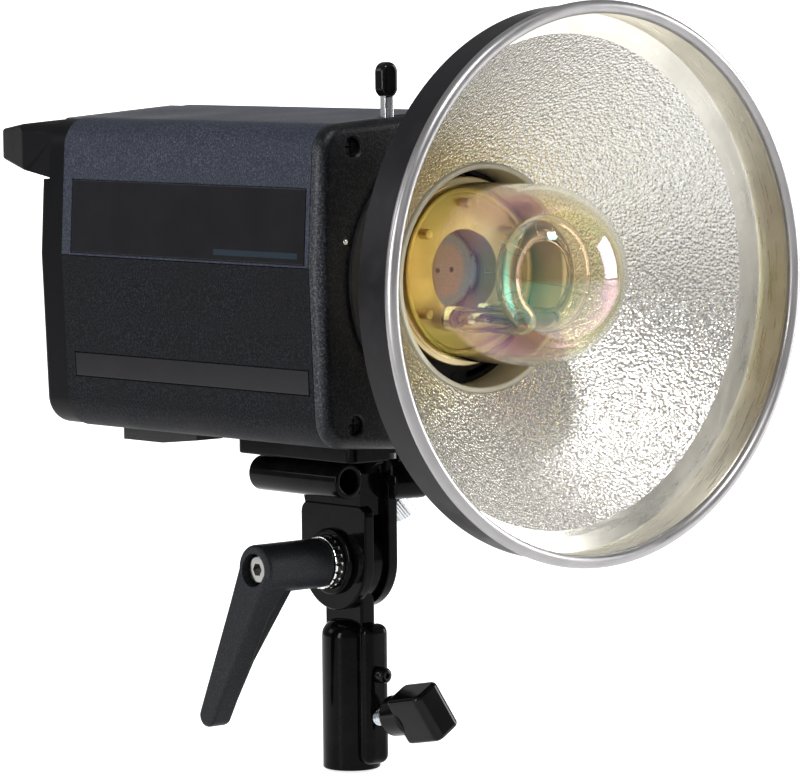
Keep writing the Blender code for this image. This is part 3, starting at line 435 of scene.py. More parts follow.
@dataclass(frozen=True)
class CoatedDome:
    """Heat-proof glass with a warm metal-oxide film that shifts in hue over the nose."""

    name: str
    tint: Colour = (1.0, 0.94, 0.74)
    amber: Colour = (1.0, 0.84, 0.46)
    rose: Colour = (1.0, 0.80, 0.86)
    blue: Colour = (0.80, 0.93, 1.0)

    def make(self) -> Material:
        """Builds the material.

        Returns:
            The material.
        """
        s = Shading(self.name)
        s.set(Transmission_Weight=1.0, IOR=1.47, Roughness=0.0, Thin_Film_Thickness=520.0, Thin_Film_IOR=1.75)
        _, depth, _ = s.axes()
        back = s.range(depth, HEAD.y + 0.030, HEAD.y + 0.062, 0.0, 1.0)
        warm = s.blend(back, self.tint, self.amber)
        spot = s.reach((-0.020, HEAD.y + 0.012, HEAD.z + 0.010))
        rose = s.range(spot, 0.006, 0.022, 0.8, 0.0)
        mottled = s.sum("MULTIPLY", rose, s.range(s.noise(160.0, 4.0, 0.7), 0.35, 0.65, 0.2, 1.0))
        hue = s.blend(mottled, warm, self.rose)
        edge = s.reach((-0.0285, HEAD.y + 0.026, HEAD.z - 0.002), (1.0, 1.0, 0.45))
        s.link(s.blend(s.range(edge, 0.004, 0.012, 0.9, 0.0), hue, self.blue), "Base Color")
        return s.material


@dataclass(frozen=True)
class Mottled:
    """Plain moulded or fired material with a soft mottle and slight relief."""

    name: str
    colour: Colour
    other: Colour
    roughness: float = 0.45
    scale: float = 220.0
    depth: float = 0.00005
    metallic: float = 0.0
    glow: float = 0.0

    def make(self) -> Material:
        """Builds the material.

        Returns:
            The material.
        """
        s = Shading(self.name)
        cloud = s.noise(self.scale, 4.0, 0.6)
        s.link(s.blend(s.range(cloud, 0.35, 0.68, 0.0, 1.0), self.colour, self.other), "Base Color")
        s.link(s.range(cloud, 0.3, 0.7, self.roughness * 0.85, self.roughness * 1.2), "Roughness")
        s.link(s.bump(cloud, self.depth, 0.5), "Normal")
        s.set(Metallic=self.metallic)
        if self.glow:
            s.set(Emission_Color=self.colour, Emission_Strength=self.glow)
        return s.material


@dataclass(frozen=True)
class SocketHaze:
    """Metal-vapour haze in the middle of the base: pale and speckled, with a blue and a dark rim."""

    name: str = "hazed_socket"
    centre: Triple = (0.0, -0.0630, 0.1395)
    pale: Colour = (0.66, 0.62, 0.52)
    pink: Colour = (0.80, 0.52, 0.50)
    blue: Colour = (0.42, 0.58, 0.72)
    rim_dark: Colour = (0.07, 0.065, 0.045)

    def make(self) -> Material:
        """Builds the material.

        Returns:
            The material.
        """
        s = Shading(self.name)
        reach = s.reach(self.centre, (1.0, 0.0, 1.0))
        speck = s.range(s.noise(900.0, 4.0, 0.75), 0.35, 0.65, 0.0, 1.0)
        middle = s.blend(speck, self.pale, self.pink)
        ringed = s.blend(s.range(reach, 0.0080, 0.0105, 0.0, 1.0), middle, self.blue)
        # Darker at the outer rim, next to the base's wall.
        s.link(s.blend(s.range(reach, 0.0122, 0.0136, 0.0, 1.0), ringed, self.rim_dark), "Base Color")
        s.link(s.range(speck, 0.0, 1.0, 0.22, 0.45), "Roughness")
        s.link(s.bump(speck, 0.0001, 0.5), "Normal")
        return s.material


@dataclass(frozen=True)
class LabelFilm:
    """Glossy black overlay with one faint printed rule near its lower edge."""

    name: str
    colour: Colour = (0.006, 0.006, 0.008)
    rule: Colour = (0.016, 0.027, 0.038)
    height: float = 0.0
    start: float = 0.0
    end: float = 0.0
    rule_core: float = 0.0009
    rule_edge: float = 0.0011

    def make(self) -> Material:
        """Builds the material.

        Returns:
            The material.
        """
        s = Shading(self.name)
        cloud = s.noise(60.0, 3.0, 0.6)
        lift = tuple(c * 1.25 for c in self.colour)
        base = s.blend(s.range(cloud, 0.4, 0.75, 0.0, 1.0), self.colour, lift)
        if self.height:
            _, along, up = s.axes()
            off = s.sum("ABSOLUTE", s.sum("SUBTRACT", up, self.height), 0.0)
            line = s.range(off, self.rule_core, self.rule_edge, 1.0, 0.0)
            from_middle = s.sum("SUBTRACT", along, (self.start + self.end) / 2.0)
            middle = s.sum("ABSOLUTE", from_middle, 0.0)
            reach = (self.end - self.start) / 2.0
            near = s.range(middle, reach, reach + 0.0006, 0.9, 0.0)
            base = s.blend(s.sum("MULTIPLY", line, near), base, self.rule)
        s.link(base, "Base Color")
        s.link(s.range(cloud, 0.3, 0.7, 0.14, 0.22), "Roughness")
        s.set(Specular_IOR_Level=0.22)
        s.link(s.bump(s.noise(900.0, 2.0), 0.00002, 0.4), "Normal")
        return s.material


@dataclass(frozen=True)
class PaleFloor:
    """Pale floor and wall, brighter in a lane behind the object."""

    name: str = "pale_floor"
    near_glow: float = 0.06
    far_glow: float = 0.95
    way: Pair = (0.66, 0.75)
    lane: float = 0.75
    start: float = -0.32
    full: float = 0.05
    fade: float = 0.4

    def make(self) -> Material:
        """Builds the material.

        Returns:
            The material.
        """
        s = Shading(self.name)
        x, y, _ = s.axes()
        along = s.sum("ADD", s.sum("MULTIPLY", x, self.way[0]), s.sum("MULTIPLY", y, self.way[1]))
        across = s.sum("SUBTRACT", s.sum("MULTIPLY", x, self.way[1]), s.sum("MULTIPLY", y, self.way[0]))
        beyond = s.range(along, self.start, self.full, 0.0, 1.0)
        inside = s.range(s.sum("ABSOLUTE", across, 0.0), self.lane, self.lane + self.fade, 1.0, 0.0)
        glow = s.range(s.sum("MULTIPLY", beyond, inside), 0.0, 1.0, self.near_glow, self.far_glow)
        s.link(glow, "Emission Strength")
        s.set(Emission_Color=(1.0, 1.0, 1.0), Specular_IOR_Level=0.1)
        cloud = s.noise(3.0, 2.0)
        s.link(s.blend(cloud, (0.78, 0.78, 0.78), (0.82, 0.82, 0.82)), "Base Color")
        return s.material


class Finishes:
    """Every finish, made once and shared by the pieces that wear it."""

    def __init__(self) -> None:
        """Builds the materials."""
        # One paint in two copies: the upper shell's is lighter and bluer as painted sheen, the lower shell's
        # darker as painted shade.
        self.shell = CrinklePaint("shell_crinkle", (0.013, 0.016, 0.026), (0.060, 0.071, 0.103)).make()
        self.low_shell_painted_shade = CrinklePaint("low_shell_crinkle", (0.004, 0.0043, 0.0055), (0.020, 0.0215, 0.028),
                                      gloss=0.07).make()
        # The bezel's outer edge band is a painted highlight.
        self.bezel = CrinklePaint("bezel_crinkle", (0.003, 0.0032, 0.004), (0.020, 0.021, 0.025), 1500.0,
                                  roughness=0.36, strength=0.6, gloss=0.18, edge=0.0560).make()
        self.cover = CrinklePaint("cover_satin", (0.002, 0.0022, 0.0030), (0.005, 0.0052, 0.0066), 2600.0,
                                  0.0001, 0.42, 0.3, 0.07).make()
        self.lever = CrinklePaint("lever_grain", (0.009, 0.0095, 0.012), (0.026, 0.027, 0.033), 1700.0,
                                  0.00016, 0.46, 0.45, 0.15).make()
        self.enamel = Enamel("gloss_enamel", (0.0016, 0.0016, 0.0018), 0.11, 0.07).make()
        self.knob = Enamel("gloss_moulding", (0.003, 0.003, 0.0035), 0.13, 0.16, 500.0).make()
        self.band = Enamel("satin_spinning", (0.007, 0.0068, 0.0082), 0.38, 0.13, 700.0, 0.00003).make()
        self.plate = Enamel("satin_black_plate", (0.008, 0.008, 0.009), 0.42, 0.25, 900.0).make()
        self.hammered = HammeredSilver("hammered_silver", (0.95, 0.935, 0.90)).make()
        self.lip = TurnedMetal("satin_lip", (0.92, 0.89, 0.80), 0.30, Axis.Y, 1200.0, 0.25).make()
        self.bead = TurnedMetal("brushed_bead", (0.40, 0.39, 0.395), 0.34, Axis.Y, 2600.0, 0.12).make()
        self.cream = Mottled("cream_ring", (0.74, 0.69, 0.52), (0.80, 0.76, 0.62), 0.35, 150.0).make()
        self.gold = TurnedMetal("gold_reflector", (0.84, 0.70, 0.42), 0.36, Axis.Y, 900.0, 0.12).make()
        self.quartz = ClearGlass("quartz").make()
        self.dome = CoatedDome("coated_glass").make()
        self.steel = TurnedMetal("plated_steel", (0.66, 0.68, 0.70), 0.20, Axis.X, 2600.0, 0.15).make()
        self.bright = TurnedMetal("bright_steel", (0.80, 0.79, 0.77), 0.12, Axis.X, 1500.0, 0.1).make()
        self.black_steel = TurnedMetal("black_steel", (0.10, 0.10, 0.105), 0.30, Axis.Z, 1500.0, 0.15).make()
        self.black_bright = TurnedMetal("dark_plated_steel", (0.34, 0.335, 0.32), 0.16, Axis.X, 1500.0,
                                        0.1).make()
        self.zinc_steel = TurnedMetal("zinc_plated_steel", (0.70, 0.76, 0.80), 0.18, Axis.Z, 900.0,
                                      0.1).make()
        self.wire = TurnedMetal("fine_wire", (0.86, 0.82, 0.72), 0.20, Axis.Z, 900.0, 0.1).make()
        self.label = LabelFilm("label_film", height=HEAD.z + 0.0092, start=HEAD.y + 0.0868,
                               end=HEAD.y + 0.1310).make()
        self.strip = LabelFilm("strip_film").make()
        self.rubber = Mottled("foot_rubber", (0.010, 0.010, 0.011), (0.017, 0.017, 0.018), 0.70, 600.0).make()
        self.hazed = SocketHaze().make()
        self.pale_key = Mottled("pale_key", (0.52, 0.52, 0.50), (0.60, 0.60, 0.58), 0.35, 500.0).make()
        self.red_key = Mottled("red_key", (0.42, 0.02, 0.015), (0.50, 0.03, 0.02), 0.30, 500.0).make()
        self.green_lens = Mottled("green_lens", (0.05, 0.42, 0.08), (0.08, 0.55, 0.12), 0.12, 700.0,
                                  glow=0.4).make()
        self.dark_lens = Mottled("dark_lens", (0.14, 0.008, 0.010), (0.20, 0.012, 0.012), 0.10, 500.0).make()
        self.zinc = Mottled("zinc_sheet", (0.52, 0.53, 0.54), (0.62, 0.63, 0.64), 0.38, 130.0,
                            metallic=1.0).make()
        self.board = Mottled("board_green", (0.016, 0.11, 0.040), (0.022, 0.15, 0.055), 0.40, 800.0).make()
        self.sleeve = Mottled("can_sleeve", (0.016, 0.028, 0.09), (0.022, 0.036, 0.11), 0.28, 160.0).make()


# ---- solids --------------------------------------------------------------------------
def on_circle(radius: float, degrees: float) -> Pair:
    """Point on a circle about the origin, by its angle in degrees."""
    return radius * math.cos(math.radians(degrees)), radius * math.sin(math.radians(degrees))


def round_edges(bm: BMesh, edges: Sequence[bmesh.types.BMEdge], width: float, segments: int) -> None:
    """Rounds some of a solid's edges.

    Args:
        bm: The solid.
        edges: The edges.
        width: Rounding radius.
        segments: Steps of the rounding.
    """
    bmesh.ops.bevel(bm, geom=edges, offset=width, segments=segments, profile=0.5, affect="EDGES",
                    material=-1)


def cleaned(bm: BMesh) -> BMesh:
    """Merges doubles and turns every face outwards.

    Args:
        bm: The solid.

    Returns:
        The same solid.
    """
    bmesh.ops.remove_doubles(bm, verts=bm.verts, dist=2e-6)
    bmesh.ops.recalc_face_normals(bm, faces=bm.faces)
    return bm


def rounded(points: Sequence[Pair], radii: Sequence[float], steps: int = 8) -> list[Vector]:
    """Replaces the corners of a closed outline by arcs.

    Args:
        points: The corners in order.
        radii: One radius for each corner; 0 leaves it sharp.
        steps: Flats along each arc.

    Returns:
        The outline's points.
    """
    outline: list[Vector] = []
    for index, point in enumerate(points):
        corner, radius = Vector(point), radii[index]
        back = (Vector(points[index - 1]) - corner).normalized()
        ahead = (Vector(points[(index + 1) % len(points)]) - corner).normalized()
        if radius <= 0.0 or (back + ahead).length < 1e-4:
            outline.append(corner)
            continue
        half = back.angle(ahead) / 2.0
        centre = corner + (back + ahead).normalized() * (radius / math.sin(half))
        first = corner + back * (radius / math.tan(half)) - centre
        last = corner + ahead * (radius / math.tan(half)) - centre
        turn = math.copysign(first.angle(last), first.x * last.y - first.y * last.x)
        for step in range(steps + 1):
            outline.append(centre + Matrix.Rotation(turn * step / steps, 2) @ first)
    return outline


def slab(outline: Sequence[Sequence[float]], low: float, high: float, axis: Axis = Axis.Y,
         low_bevel: float = 0.0, high_bevel: float = 0.0, segments: int = 4) -> BMesh:
    """A flat outline raised into a solid.

    Args:
        outline: Points in the two other axes, in the order X, Y, Z.
        low: Start along the axis.
        high: End along the axis.
        axis: Axis that the outline is raised along.
        low_bevel: Rounding of the edge at the low end.
        high_bevel: Rounding of the edge at the high end.
        segments: Steps of each rounding.

    Returns:
        The closed solid.
    """
    bm = bmesh.new()
    others = [a for a in range(3) if a != axis.value]
    verts = []
    for point in outline:
        co = [0.0, 0.0, 0.0]
        co[axis.value], co[others[0]], co[others[1]] = low, point[0], point[1]
        verts.append(bm.verts.new(co))
    face = bm.faces.new(verts)
    raised = bmesh.ops.extrude_face_region(bm, geom=[face])["geom"]
    top = [e for e in raised if isinstance(e, bmesh.types.BMVert)]
    move = Vector((0.0, 0.0, 0.0))
    move[axis.value] = high - low
    bmesh.ops.translate(bm, vec=move, verts=top)
    cleaned(bm)
    for level, width in ((low, low_bevel), (high, high_bevel)):
        if width:
            rim = [e for e in bm.edges if all(abs(v.co[axis.value] - level) < 1e-6 for v in e.verts)]
            round_edges(bm, rim, width, segments)
    return cleaned(bm)


def rod(start: Sequence[float], end: Sequence[float], radius: float, end_radius: Optional[float] = None,
        sides: int = 48, bevel: float = 0.0, segments: int = 3) -> BMesh:
    """A round bar between two points, with rounded rims.

    Args:
        start: Centre of one end.
        end: Centre of the other end.
        radius: Radius at the start.
        end_radius: Radius at the end, the same if left out.
        sides: Flats around it.
        bevel: Rounding of both rims.
        segments: Steps of the rounding.

    Returns:
        The closed solid.
    """
    first, last = Vector(start), Vector(end)
    run = last - first
    bm = bmesh.new()
    bmesh.ops.create_cone(bm, cap_ends=True, segments=sides, radius1=radius,
                          radius2=radius if end_radius is None else end_radius, depth=run.length)
    if bevel:
        rims = [e for e in bm.edges if abs(e.verts[0].co.z - e.verts[1].co.z) < 1e-7]
        round_edges(bm, rims, bevel, segments)
    turn = Vector((0, 0, 1)).rotation_difference(run.normalized()).to_matrix().to_4x4()
    bm.transform(Matrix.Translation((first + last) / 2.0) @ turn)
    return cleaned(bm)


def block(low: Sequence[float], high: Sequence[float], bevel: float = 0.0, segments: int = 3,
          along: Optional[Axis] = None) -> BMesh:
    """A box between two corners with rounded edges.

    Args:
        low: Lowest corner.
        high: Highest corner.
        bevel: Rounding radius.
        segments: Steps of the rounding.
        along: Rounds only the edges that run along this axis.

    Returns:
        The closed solid.
    """
    first, last = Vector(low), Vector(high)
    bm = bmesh.new()
    bmesh.ops.create_cube(bm, size=1.0)
    bmesh.ops.scale(bm, vec=last - first, verts=bm.verts)
    bmesh.ops.translate(bm, vec=(first + last) / 2.0, verts=bm.verts)
    if bevel:
        edges = bm.edges[:]
        if along:
            edges = [e for e in edges
                     if abs((e.verts[0].co - e.verts[1].co).normalized()[along.value]) > 0.9]
        round_edges(bm, edges, bevel, segments)
    return cleaned(bm)


def spun(profile: Sequence[Pair], steps: int = 160, centre: Sequence[float] = (0.0, 0.0, 0.0),
         axis: Axis = Axis.Y) -> BMesh:
    """A closed profile of (radius, distance along the axis) pairs spun through a full turn.

    Args:
        profile: The profile's points in order.
        steps: Flats around the turn.
        centre: Point on the axis that distances are counted from.
        axis: Axis of the turn.

    Returns:
        The closed solid.
    """
    bm = bmesh.new()
    across = Vector((0.0, 1.0, 0.0)) if axis is Axis.X else Vector((1.0, 0.0, 0.0))
    along = Vector([1.0 if i == axis.value else 0.0 for i in range(3)])
    origin = Vector(centre)
    verts = [bm.verts.new(origin + across * r + along * d) for r, d in profile]
    edges = [bm.edges.new(pair) for pair in zip(verts, verts[1:])]
    if min(profile[0][0], profile[-1][0]) > 1e-9:
        edges.append(bm.edges.new((verts[-1], verts[0])))
    bmesh.ops.spin(bm, geom=verts + edges, cent=origin, axis=along, angle=math.tau, steps=steps,
                   use_merge=True, use_duplicate=False)
    return cleaned(bm)


def swept(points: Sequence[Vector], radius: float, sides: int = 20, closed: bool = False) -> BMesh:
    """A round bar that follows a run of points.

    Args:
        points: Centre line.
        radius: Radius of the bar.
        sides: Flats around it.
        closed: Whether the last point runs on to the first.

    Returns:
        The closed solid.
    """
    bm = bmesh.new()
    count = len(points)
    up: Optional[Vector] = None
    rings: list[list[bmesh.types.BMEdge]] = []
    for index, point in enumerate(points):
        if closed:
            ahead = (points[(index + 1) % count] - points[index - 1]).normalized()
        else:
            ahead = (points[min(index + 1, count - 1)] - points[max(index - 1, 0)]).normalized()
        if up is None:
            up = ahead.orthogonal().normalized()
        up = (up - ahead * up.dot(ahead)).normalized()
        turn = Matrix((up, ahead.cross(up), ahead)).transposed().to_4x4()
        made = bmesh.ops.create_circle(bm, cap_ends=False, radius=radius, segments=sides,
                                       matrix=Matrix.Translation(point) @ turn)["verts"]
        own = set(made)
        rings.append([e for e in {edge for v in made for edge in v.link_edges} if set(e.verts) <= own])
    pairs = list(zip(rings, rings[1:]))
    if closed:
        pairs.append((rings[-1], rings[0]))
    for first, second in pairs:
        bmesh.ops.bridge_loops(bm, edges=first + second)
    if not closed:
        for ring in (rings[0], rings[-1]):
            bmesh.ops.edgeloop_fill(bm, edges=ring)
    return cleaned(bm)


def merged(*parts: BMesh) -> BMesh:
    """Puts several solids in one mesh without joining their surfaces.

    Args:
        parts: The solids; the first one is added to.

    Returns:
        The whole mesh.
    """
    whole = parts[0]
    for part in parts[1:]:
        mesh = bpy.data.meshes.new("part")
        part.to_mesh(mesh)
        part.free()
        whole.from_mesh(mesh)
        bpy.data.meshes.remove(mesh)
    return whole


def carved(base: BMesh, *steps: tuple[Join, BMesh]) -> BMesh:
    """Joins solids to a base, or cuts them from it, with exact booleans.

    Args:
        base: The solid to start from.
        steps: What to do, and with which solid, in order.

    Returns:
        The finished solid.
    """
    holders: list[Object] = []
    for part in (base, *[tool for _, tool in steps]):
        mesh = bpy.data.meshes.new("carving")
        part.to_mesh(mesh)
        part.free()
        holder = bpy.data.objects.new("carving", mesh)
        bpy.context.scene.collection.objects.link(holder)
        holders.append(holder)
    for (kind, _), tool in zip(steps, holders[1:]):
        step = holders[0].modifiers.new("carve", "BOOLEAN")
        step.operation, step.solver, step.object = kind.value, "EXACT", tool
    graph = bpy.context.evaluated_depsgraph_get()
    graph.update()
    result = bpy.data.meshes.new_from_object(holders[0].evaluated_get(graph))
    bm = bmesh.new()
    bm.from_mesh(result)
    for holder in holders:
        mesh = holder.data
        bpy.data.objects.remove(holder, do_unlink=True)
        bpy.data.meshes.remove(mesh)
    bpy.data.meshes.remove(result)
    bmesh.ops.remove_doubles(bm, verts=bm.verts, dist=2e-6)
    return bm


def moved(bm: BMesh, offset: Vector = HEAD, turn: Optional[Matrix] = None) -> BMesh:
    """Turns a solid about the origin, then shifts it.

    Args:
        bm: The solid.
        offset: Where the origin goes.
        turn: Rotation about the origin.

    Returns:
        The same solid.
    """
    if turn:
        bm.transform(turn.to_4x4())
    bmesh.ops.translate(bm, vec=offset, verts=bm.verts)
    return bm


def piece(name: str, bm: BMesh, looks: Sequence[Material], body: str, stands_for: Sequence[str] = (),
          crease: float = 35.0, weighted: bool = True) -> Object:
    """Makes a finished piece that rides on a body.

    Args:
        name: The piece's name.
        bm: Its solid, in place.
        looks: Its materials, by face index.
        body: The body that it moves with.
        stands_for: Nodes of the frame that it replaces.
        crease: Angle in degrees past which an edge stays sharp.
        weighted: Whether wide faces keep their flat shading.

    Returns:
        The piece.
    """
    mesh = bpy.data.meshes.new(name)
    bm.to_mesh(mesh)
    bm.free()
    for look in looks:
        mesh.materials.append(look)
    mesh.shade_smooth()
    mesh.set_sharp_from_angle(angle=math.radians(crease))
    made = bpy.data.objects.new(name, mesh)
    bpy.context.scene.collection.objects.link(made)
    if weighted:
        keep = made.modifiers.new("flat_faces", "WEIGHTED_NORMAL")
        keep.keep_sharp = True
        keep.weight = 60
    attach(made, body)
    if stands_for:
        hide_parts(*stands_for)
    LOG.info("%s: %d faces on %s", name, len(mesh.polygons), body)
    return made


def dress(look: Material, *nodes: str) -> None:
    """Gives nodes of the frame a finish.

    Args:
        look: The finish.
        nodes: The nodes' names.
    """
    for node in nodes:
        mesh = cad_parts[node].data
        mesh.materials.clear()
        mesh.materials.append(look)
        LOG.info("%s: dressed in %s", node, look.name)


# ---- reflector -----------------------------------------------------------------------
@dataclass
class Reflector:
    """Spun bowl with a cylindrical lip, its rolled bead and the cream ring at its neck."""

    rim_radius: float = 0.0953
    bead_radius: float = 0.0023
    lip_depth: float = 0.0167
    bowl_edge: float = 0.0840
    bowl_edge_depth: float = 0.0180
    neck_radius: float = 0.0398
    neck_depth: float = 0.0580
    sheet: float = 0.0012
    lip_inset: float = 0.0030
    bead_middle: float = 0.0005
    bowl_steps: int = 44
    bead_flats: int = 28
    ring_bore: float = 0.0376
    ring_front: float = 0.0572
    ring_seat: float = 0.0600
    flange_radius: float = 0.0435
    flange_back: float = 0.0618
    ring_radius: float = 0.0408
    ring_back: float = 0.0733
    ring_rounding: float = 0.0003
    turns: int = 192

    def depth(self, radius: float) -> float:
        """How far behind the mouth the bowl's inner face lies at a radius."""
        slope = (self.bowl_edge ** 2 - self.neck_radius ** 2) / (self.neck_depth - self.bowl_edge_depth)
        return self.neck_depth - (radius ** 2 - self.neck_radius ** 2) / slope

    def bowl(self, finishes: Finishes) -> Object:
        """Builds the bowl: grained inside, satin lip, dark outside.

        Args:
            finishes: The shared finishes.

        Returns:
            The piece.
        """
        lip = self.rim_radius - self.lip_inset
        start = self.bead_radius + self.bead_middle + GAP
        steps = self.bowl_steps
        radii = [self.bowl_edge + (self.neck_radius - self.bowl_edge) * i / steps
                 for i in range(steps + 1)]
        inner = [(lip, start), (lip - 0.0003, self.lip_depth - 0.0022),
                 (lip - 0.0009, self.lip_depth - 0.0010), (lip - 0.0022, self.lip_depth - 0.0004)]
        inner += [(r, self.depth(r)) for r in radii]
        lean = self.sheet * 0.72
        outer = [(lip + self.sheet + 0.0003, start), (lip + self.sheet, self.lip_depth - 0.0006),
                 (lip + self.sheet - 0.0007, self.lip_depth + 0.0003),
                 (self.bowl_edge + 0.0016, self.bowl_edge_depth + self.sheet)]
        outer += [(r + lean, self.depth(r) + lean) for r in radii[1:]]
        bm = spun(outer + inner[::-1], self.turns)
        for face in bm.faces:
            middle = face.calc_center_median()
            spoke = Vector((middle.x, 0.0, middle.z))
            radius = spoke.length
            inward = face.normal.dot(-spoke.normalized()) - face.normal.y
            if inward > 0.2:
                face.material_index = 1 if radius > self.bowl_edge + 0.0004 else 0
            else:
                face.material_index = 2
        return piece("bowl", moved(bm), [finishes.hammered, finishes.lip, finishes.band], "reflector",
                     ["reflector_bowl"], 30.0, weighted=False)

    def bead(self, finishes: Finishes) -> Object:
        """Builds the rolled bead round the mouth.

        Args:
            finishes: The shared finishes.

        Returns:
            The piece.
        """
        middle = self.rim_radius - self.bead_radius
        angles = [math.tau * k / self.bead_flats for k in range(self.bead_flats)]
        profile = [(middle + self.bead_radius * math.cos(a),
                    self.bead_middle + self.bead_radius * math.sin(a)) for a in angles]
        return piece("bead", moved(spun(profile, self.turns)), [finishes.bead], "reflector",
                     ["reflector_rim"], weighted=False)

    def ring(self, finishes: Finishes) -> Object:
        """Builds the cream ring that carries the bayonet.

        Args:
            finishes: The shared finishes.

        Returns:
            The piece.
        """
        tight = self.neck_radius - GAP - 0.0002
        edge = self.ring_rounding
        profile = rounded([(self.ring_bore, self.ring_front), (tight, self.ring_front),
                           (tight, self.ring_seat), (self.flange_radius, self.ring_seat),
                           (self.flange_radius, self.flange_back), (self.ring_radius, self.flange_back),
                           (self.ring_radius, self.ring_back), (self.ring_bore, self.ring_back)],
                          [0.0007, edge, 0.0, edge, edge, 0.0, edge, edge], 4)
        return piece("neck_ring", moved(spun(profile, 144)), [finishes.cream], "reflector",
                     ["reflector_collar"], weighted=False)

    def make(self, finishes: Finishes) -> None:
        """Builds every piece.

        Args:
            finishes: The shared finishes.
        """
        self.bowl(finishes)
        self.bead(finishes)
        self.ring(finishes)


# ---- lamp ----------------------------------------------------------------------------
@dataclass
class Lamp:
    """Mounting plate, gold-toned base, ring flash tube with its wires, and the coated dome."""

    rise: float = 0.0020
    base_front: float = 0.0675
    dome_radius: float = 0.0310
    dome_wall: float = 0.0016
    dome_centre: float = 0.0315
    ring_radius: float = 0.0165
    ring_tube: float = 0.0043
    ring_depth: float = 0.0280
    leg_spread: float = math.radians(40.0)
    leg_bend: float = 0.0050
    plate_radius: float = 0.0468
    plate_front: float = 0.0736
    plate_back: float = 0.0751
    plate_hole: float = 0.0303
    slot_outer: float = 0.0362
    slot_inner: float = 0.0338
    slot_middles: tuple[float, ...] = (68.0, 112.0, 248.0, 292.0)
    slot_half_span: float = 13.0
    screw_circle: float = 0.0350
    screw_angles: tuple[float, ...] = (45.0, 90.0, 135.0, 225.0, 270.0, 315.0)
    base_hole: float = 0.0143
    base_radius: float = 0.0300
    base_flange: float = 0.0328
    base_depth: float = 0.0240
    post_circle: float = 0.0235
    post_angles: tuple[float, ...] = (35.0, 90.0, 145.0, 215.0)
    hoop_shares: tuple[float, ...] = (0.10, 0.30, 0.50, 0.70, 0.90)
    hoop_wire: float = 0.00016
    thin_wire: float = 0.00014

    @property
    def centre(self) -> Vector:
        """Centre of the lamp's axis at the mouth."""
        return HEAD + Vector((0.0, 0.0, self.rise))

    def plate(self, finishes: Finishes) -> Object:
        """Builds the dark plate round the lamp, with its curved slots and screws.

        Args:
            finishes: The shared finishes.

        Returns:
            The piece.
        """
        ring = [(self.plate_radius * math.cos(a), self.plate_radius * math.sin(a))
                for a in (math.tau * k / 96 for k in range(96))]
        hole = rod((0, 0.07, self.rise), (0, 0.08, self.rise), self.plate_hole, sides=96)
        cuts = [(Join.CUT, hole)]
        for middle in self.slot_middles:
            span = [math.radians(middle + self.slot_half_span * (k / 8.0 - 1.0)) for k in range(17)]
            arc = [(self.slot_outer * math.cos(a), self.slot_outer * math.sin(a)) for a in span]
            arc += [(self.slot_inner * math.cos(a), self.slot_inner * math.sin(a))
                    for a in reversed(span)]
            cuts.append((Join.CUT, slab(arc, 0.0742, 0.08)))
            cuts.append((Join.CUT, slab(arc, 0.07, 0.0745)))
        for angle in self.screw_angles:
            x, z = on_circle(self.screw_circle, angle)
            cuts.append((Join.ADD, rod((x, 0.0732, z), (x, 0.0742, z), 0.0017, sides=24, bevel=0.0003)))
        bm = carved(slab(ring, self.plate_front, self.plate_back), *cuts)
        return piece("lamp_plate", moved(bm), [finishes.plate], "head", ["mount_plate"],
                     weighted=False)

    def base(self, finishes: Finishes) -> Object:
        """Builds the gold-toned base with its hollow middle, clip posts and trigger post.

        Args:
            finishes: The shared finishes.

        Returns:
            The piece.
        """
        front, hole, wall = self.base_front, self.base_hole, self.base_radius
        flange, deep = self.base_flange, self.base_depth
        profile = rounded([(hole, 0.0), (0.0270, 0.0), (0.0270, -0.0025), (0.0290, -0.0025), (0.0290, 0.0),
                           (flange, 0.0), (flange, 0.0025), (wall, 0.0035), (wall, deep), (hole, deep)],
                          [0.0006, 0.0, 0.0005, 0.0005, 0.0, 0.0005, 0.0004, 0.0, 0.0003, 0.0], 3)
        bm = spun([(r, front + d) for r, d in profile], 128)
        steps = []
        for angle in self.post_angles:
            x, z = on_circle(self.post_circle, angle)
            post = rod((x, front - 0.0040, z), (x, front + 0.001, z), 0.0018, sides=28, bevel=0.0006)
            steps.append((Join.ADD, post))
        return piece("lamp_base_fine", moved(carved(bm, *steps), self.centre), [finishes.gold], "head",
                     ["lamp_base"], weighted=False)

    def centre_line(self, steps: int = 60) -> list[Vector]:
        """The tube's centre line: a nearly full ring whose ends turn back into two legs.

        Args:
            steps: Flats along the ring.

        Returns:
            The points, from one leg's foot to the other's.
        """
        start = -math.pi / 2.0 + self.leg_spread
        end = start + math.tau - 2.0 * self.leg_spread
        arc = [start + (end - start) * k / steps for k in range(steps + 1)]

        def leg(angle: float, way: float) -> list[Vector]:
            """One leg, from the ring to the base.

            Args:
                angle: Where it leaves the ring.
                way: Which way it bends, 1 or -1.

            Returns:
                The leg's points.
            """
            root = Vector((math.cos(angle), 0.0, math.sin(angle))) * self.ring_radius
            root.y = self.ring_depth
            run = Vector((math.sin(angle), 0.0, -math.cos(angle))) * way
            turn = [root + run * self.leg_bend * math.sin(a)
                    + Vector((0, self.leg_bend * (1 - math.cos(a)), 0))
                    for a in (math.radians(9.0 * k) for k in range(1, 11))]
            last = turn[-1].copy()
            last.y = self.base_front - GAP
            return turn + [turn[-1].lerp(last, t) for t in (0.25, 0.5, 0.75, 1.0)]

        points = leg(arc[0], 1.0)[::-1]
        points += [Vector((self.ring_radius * math.cos(a), self.ring_depth, self.ring_radius * math.sin(a)))
                   for a in arc]
        return points + leg(arc[-1], -1.0)

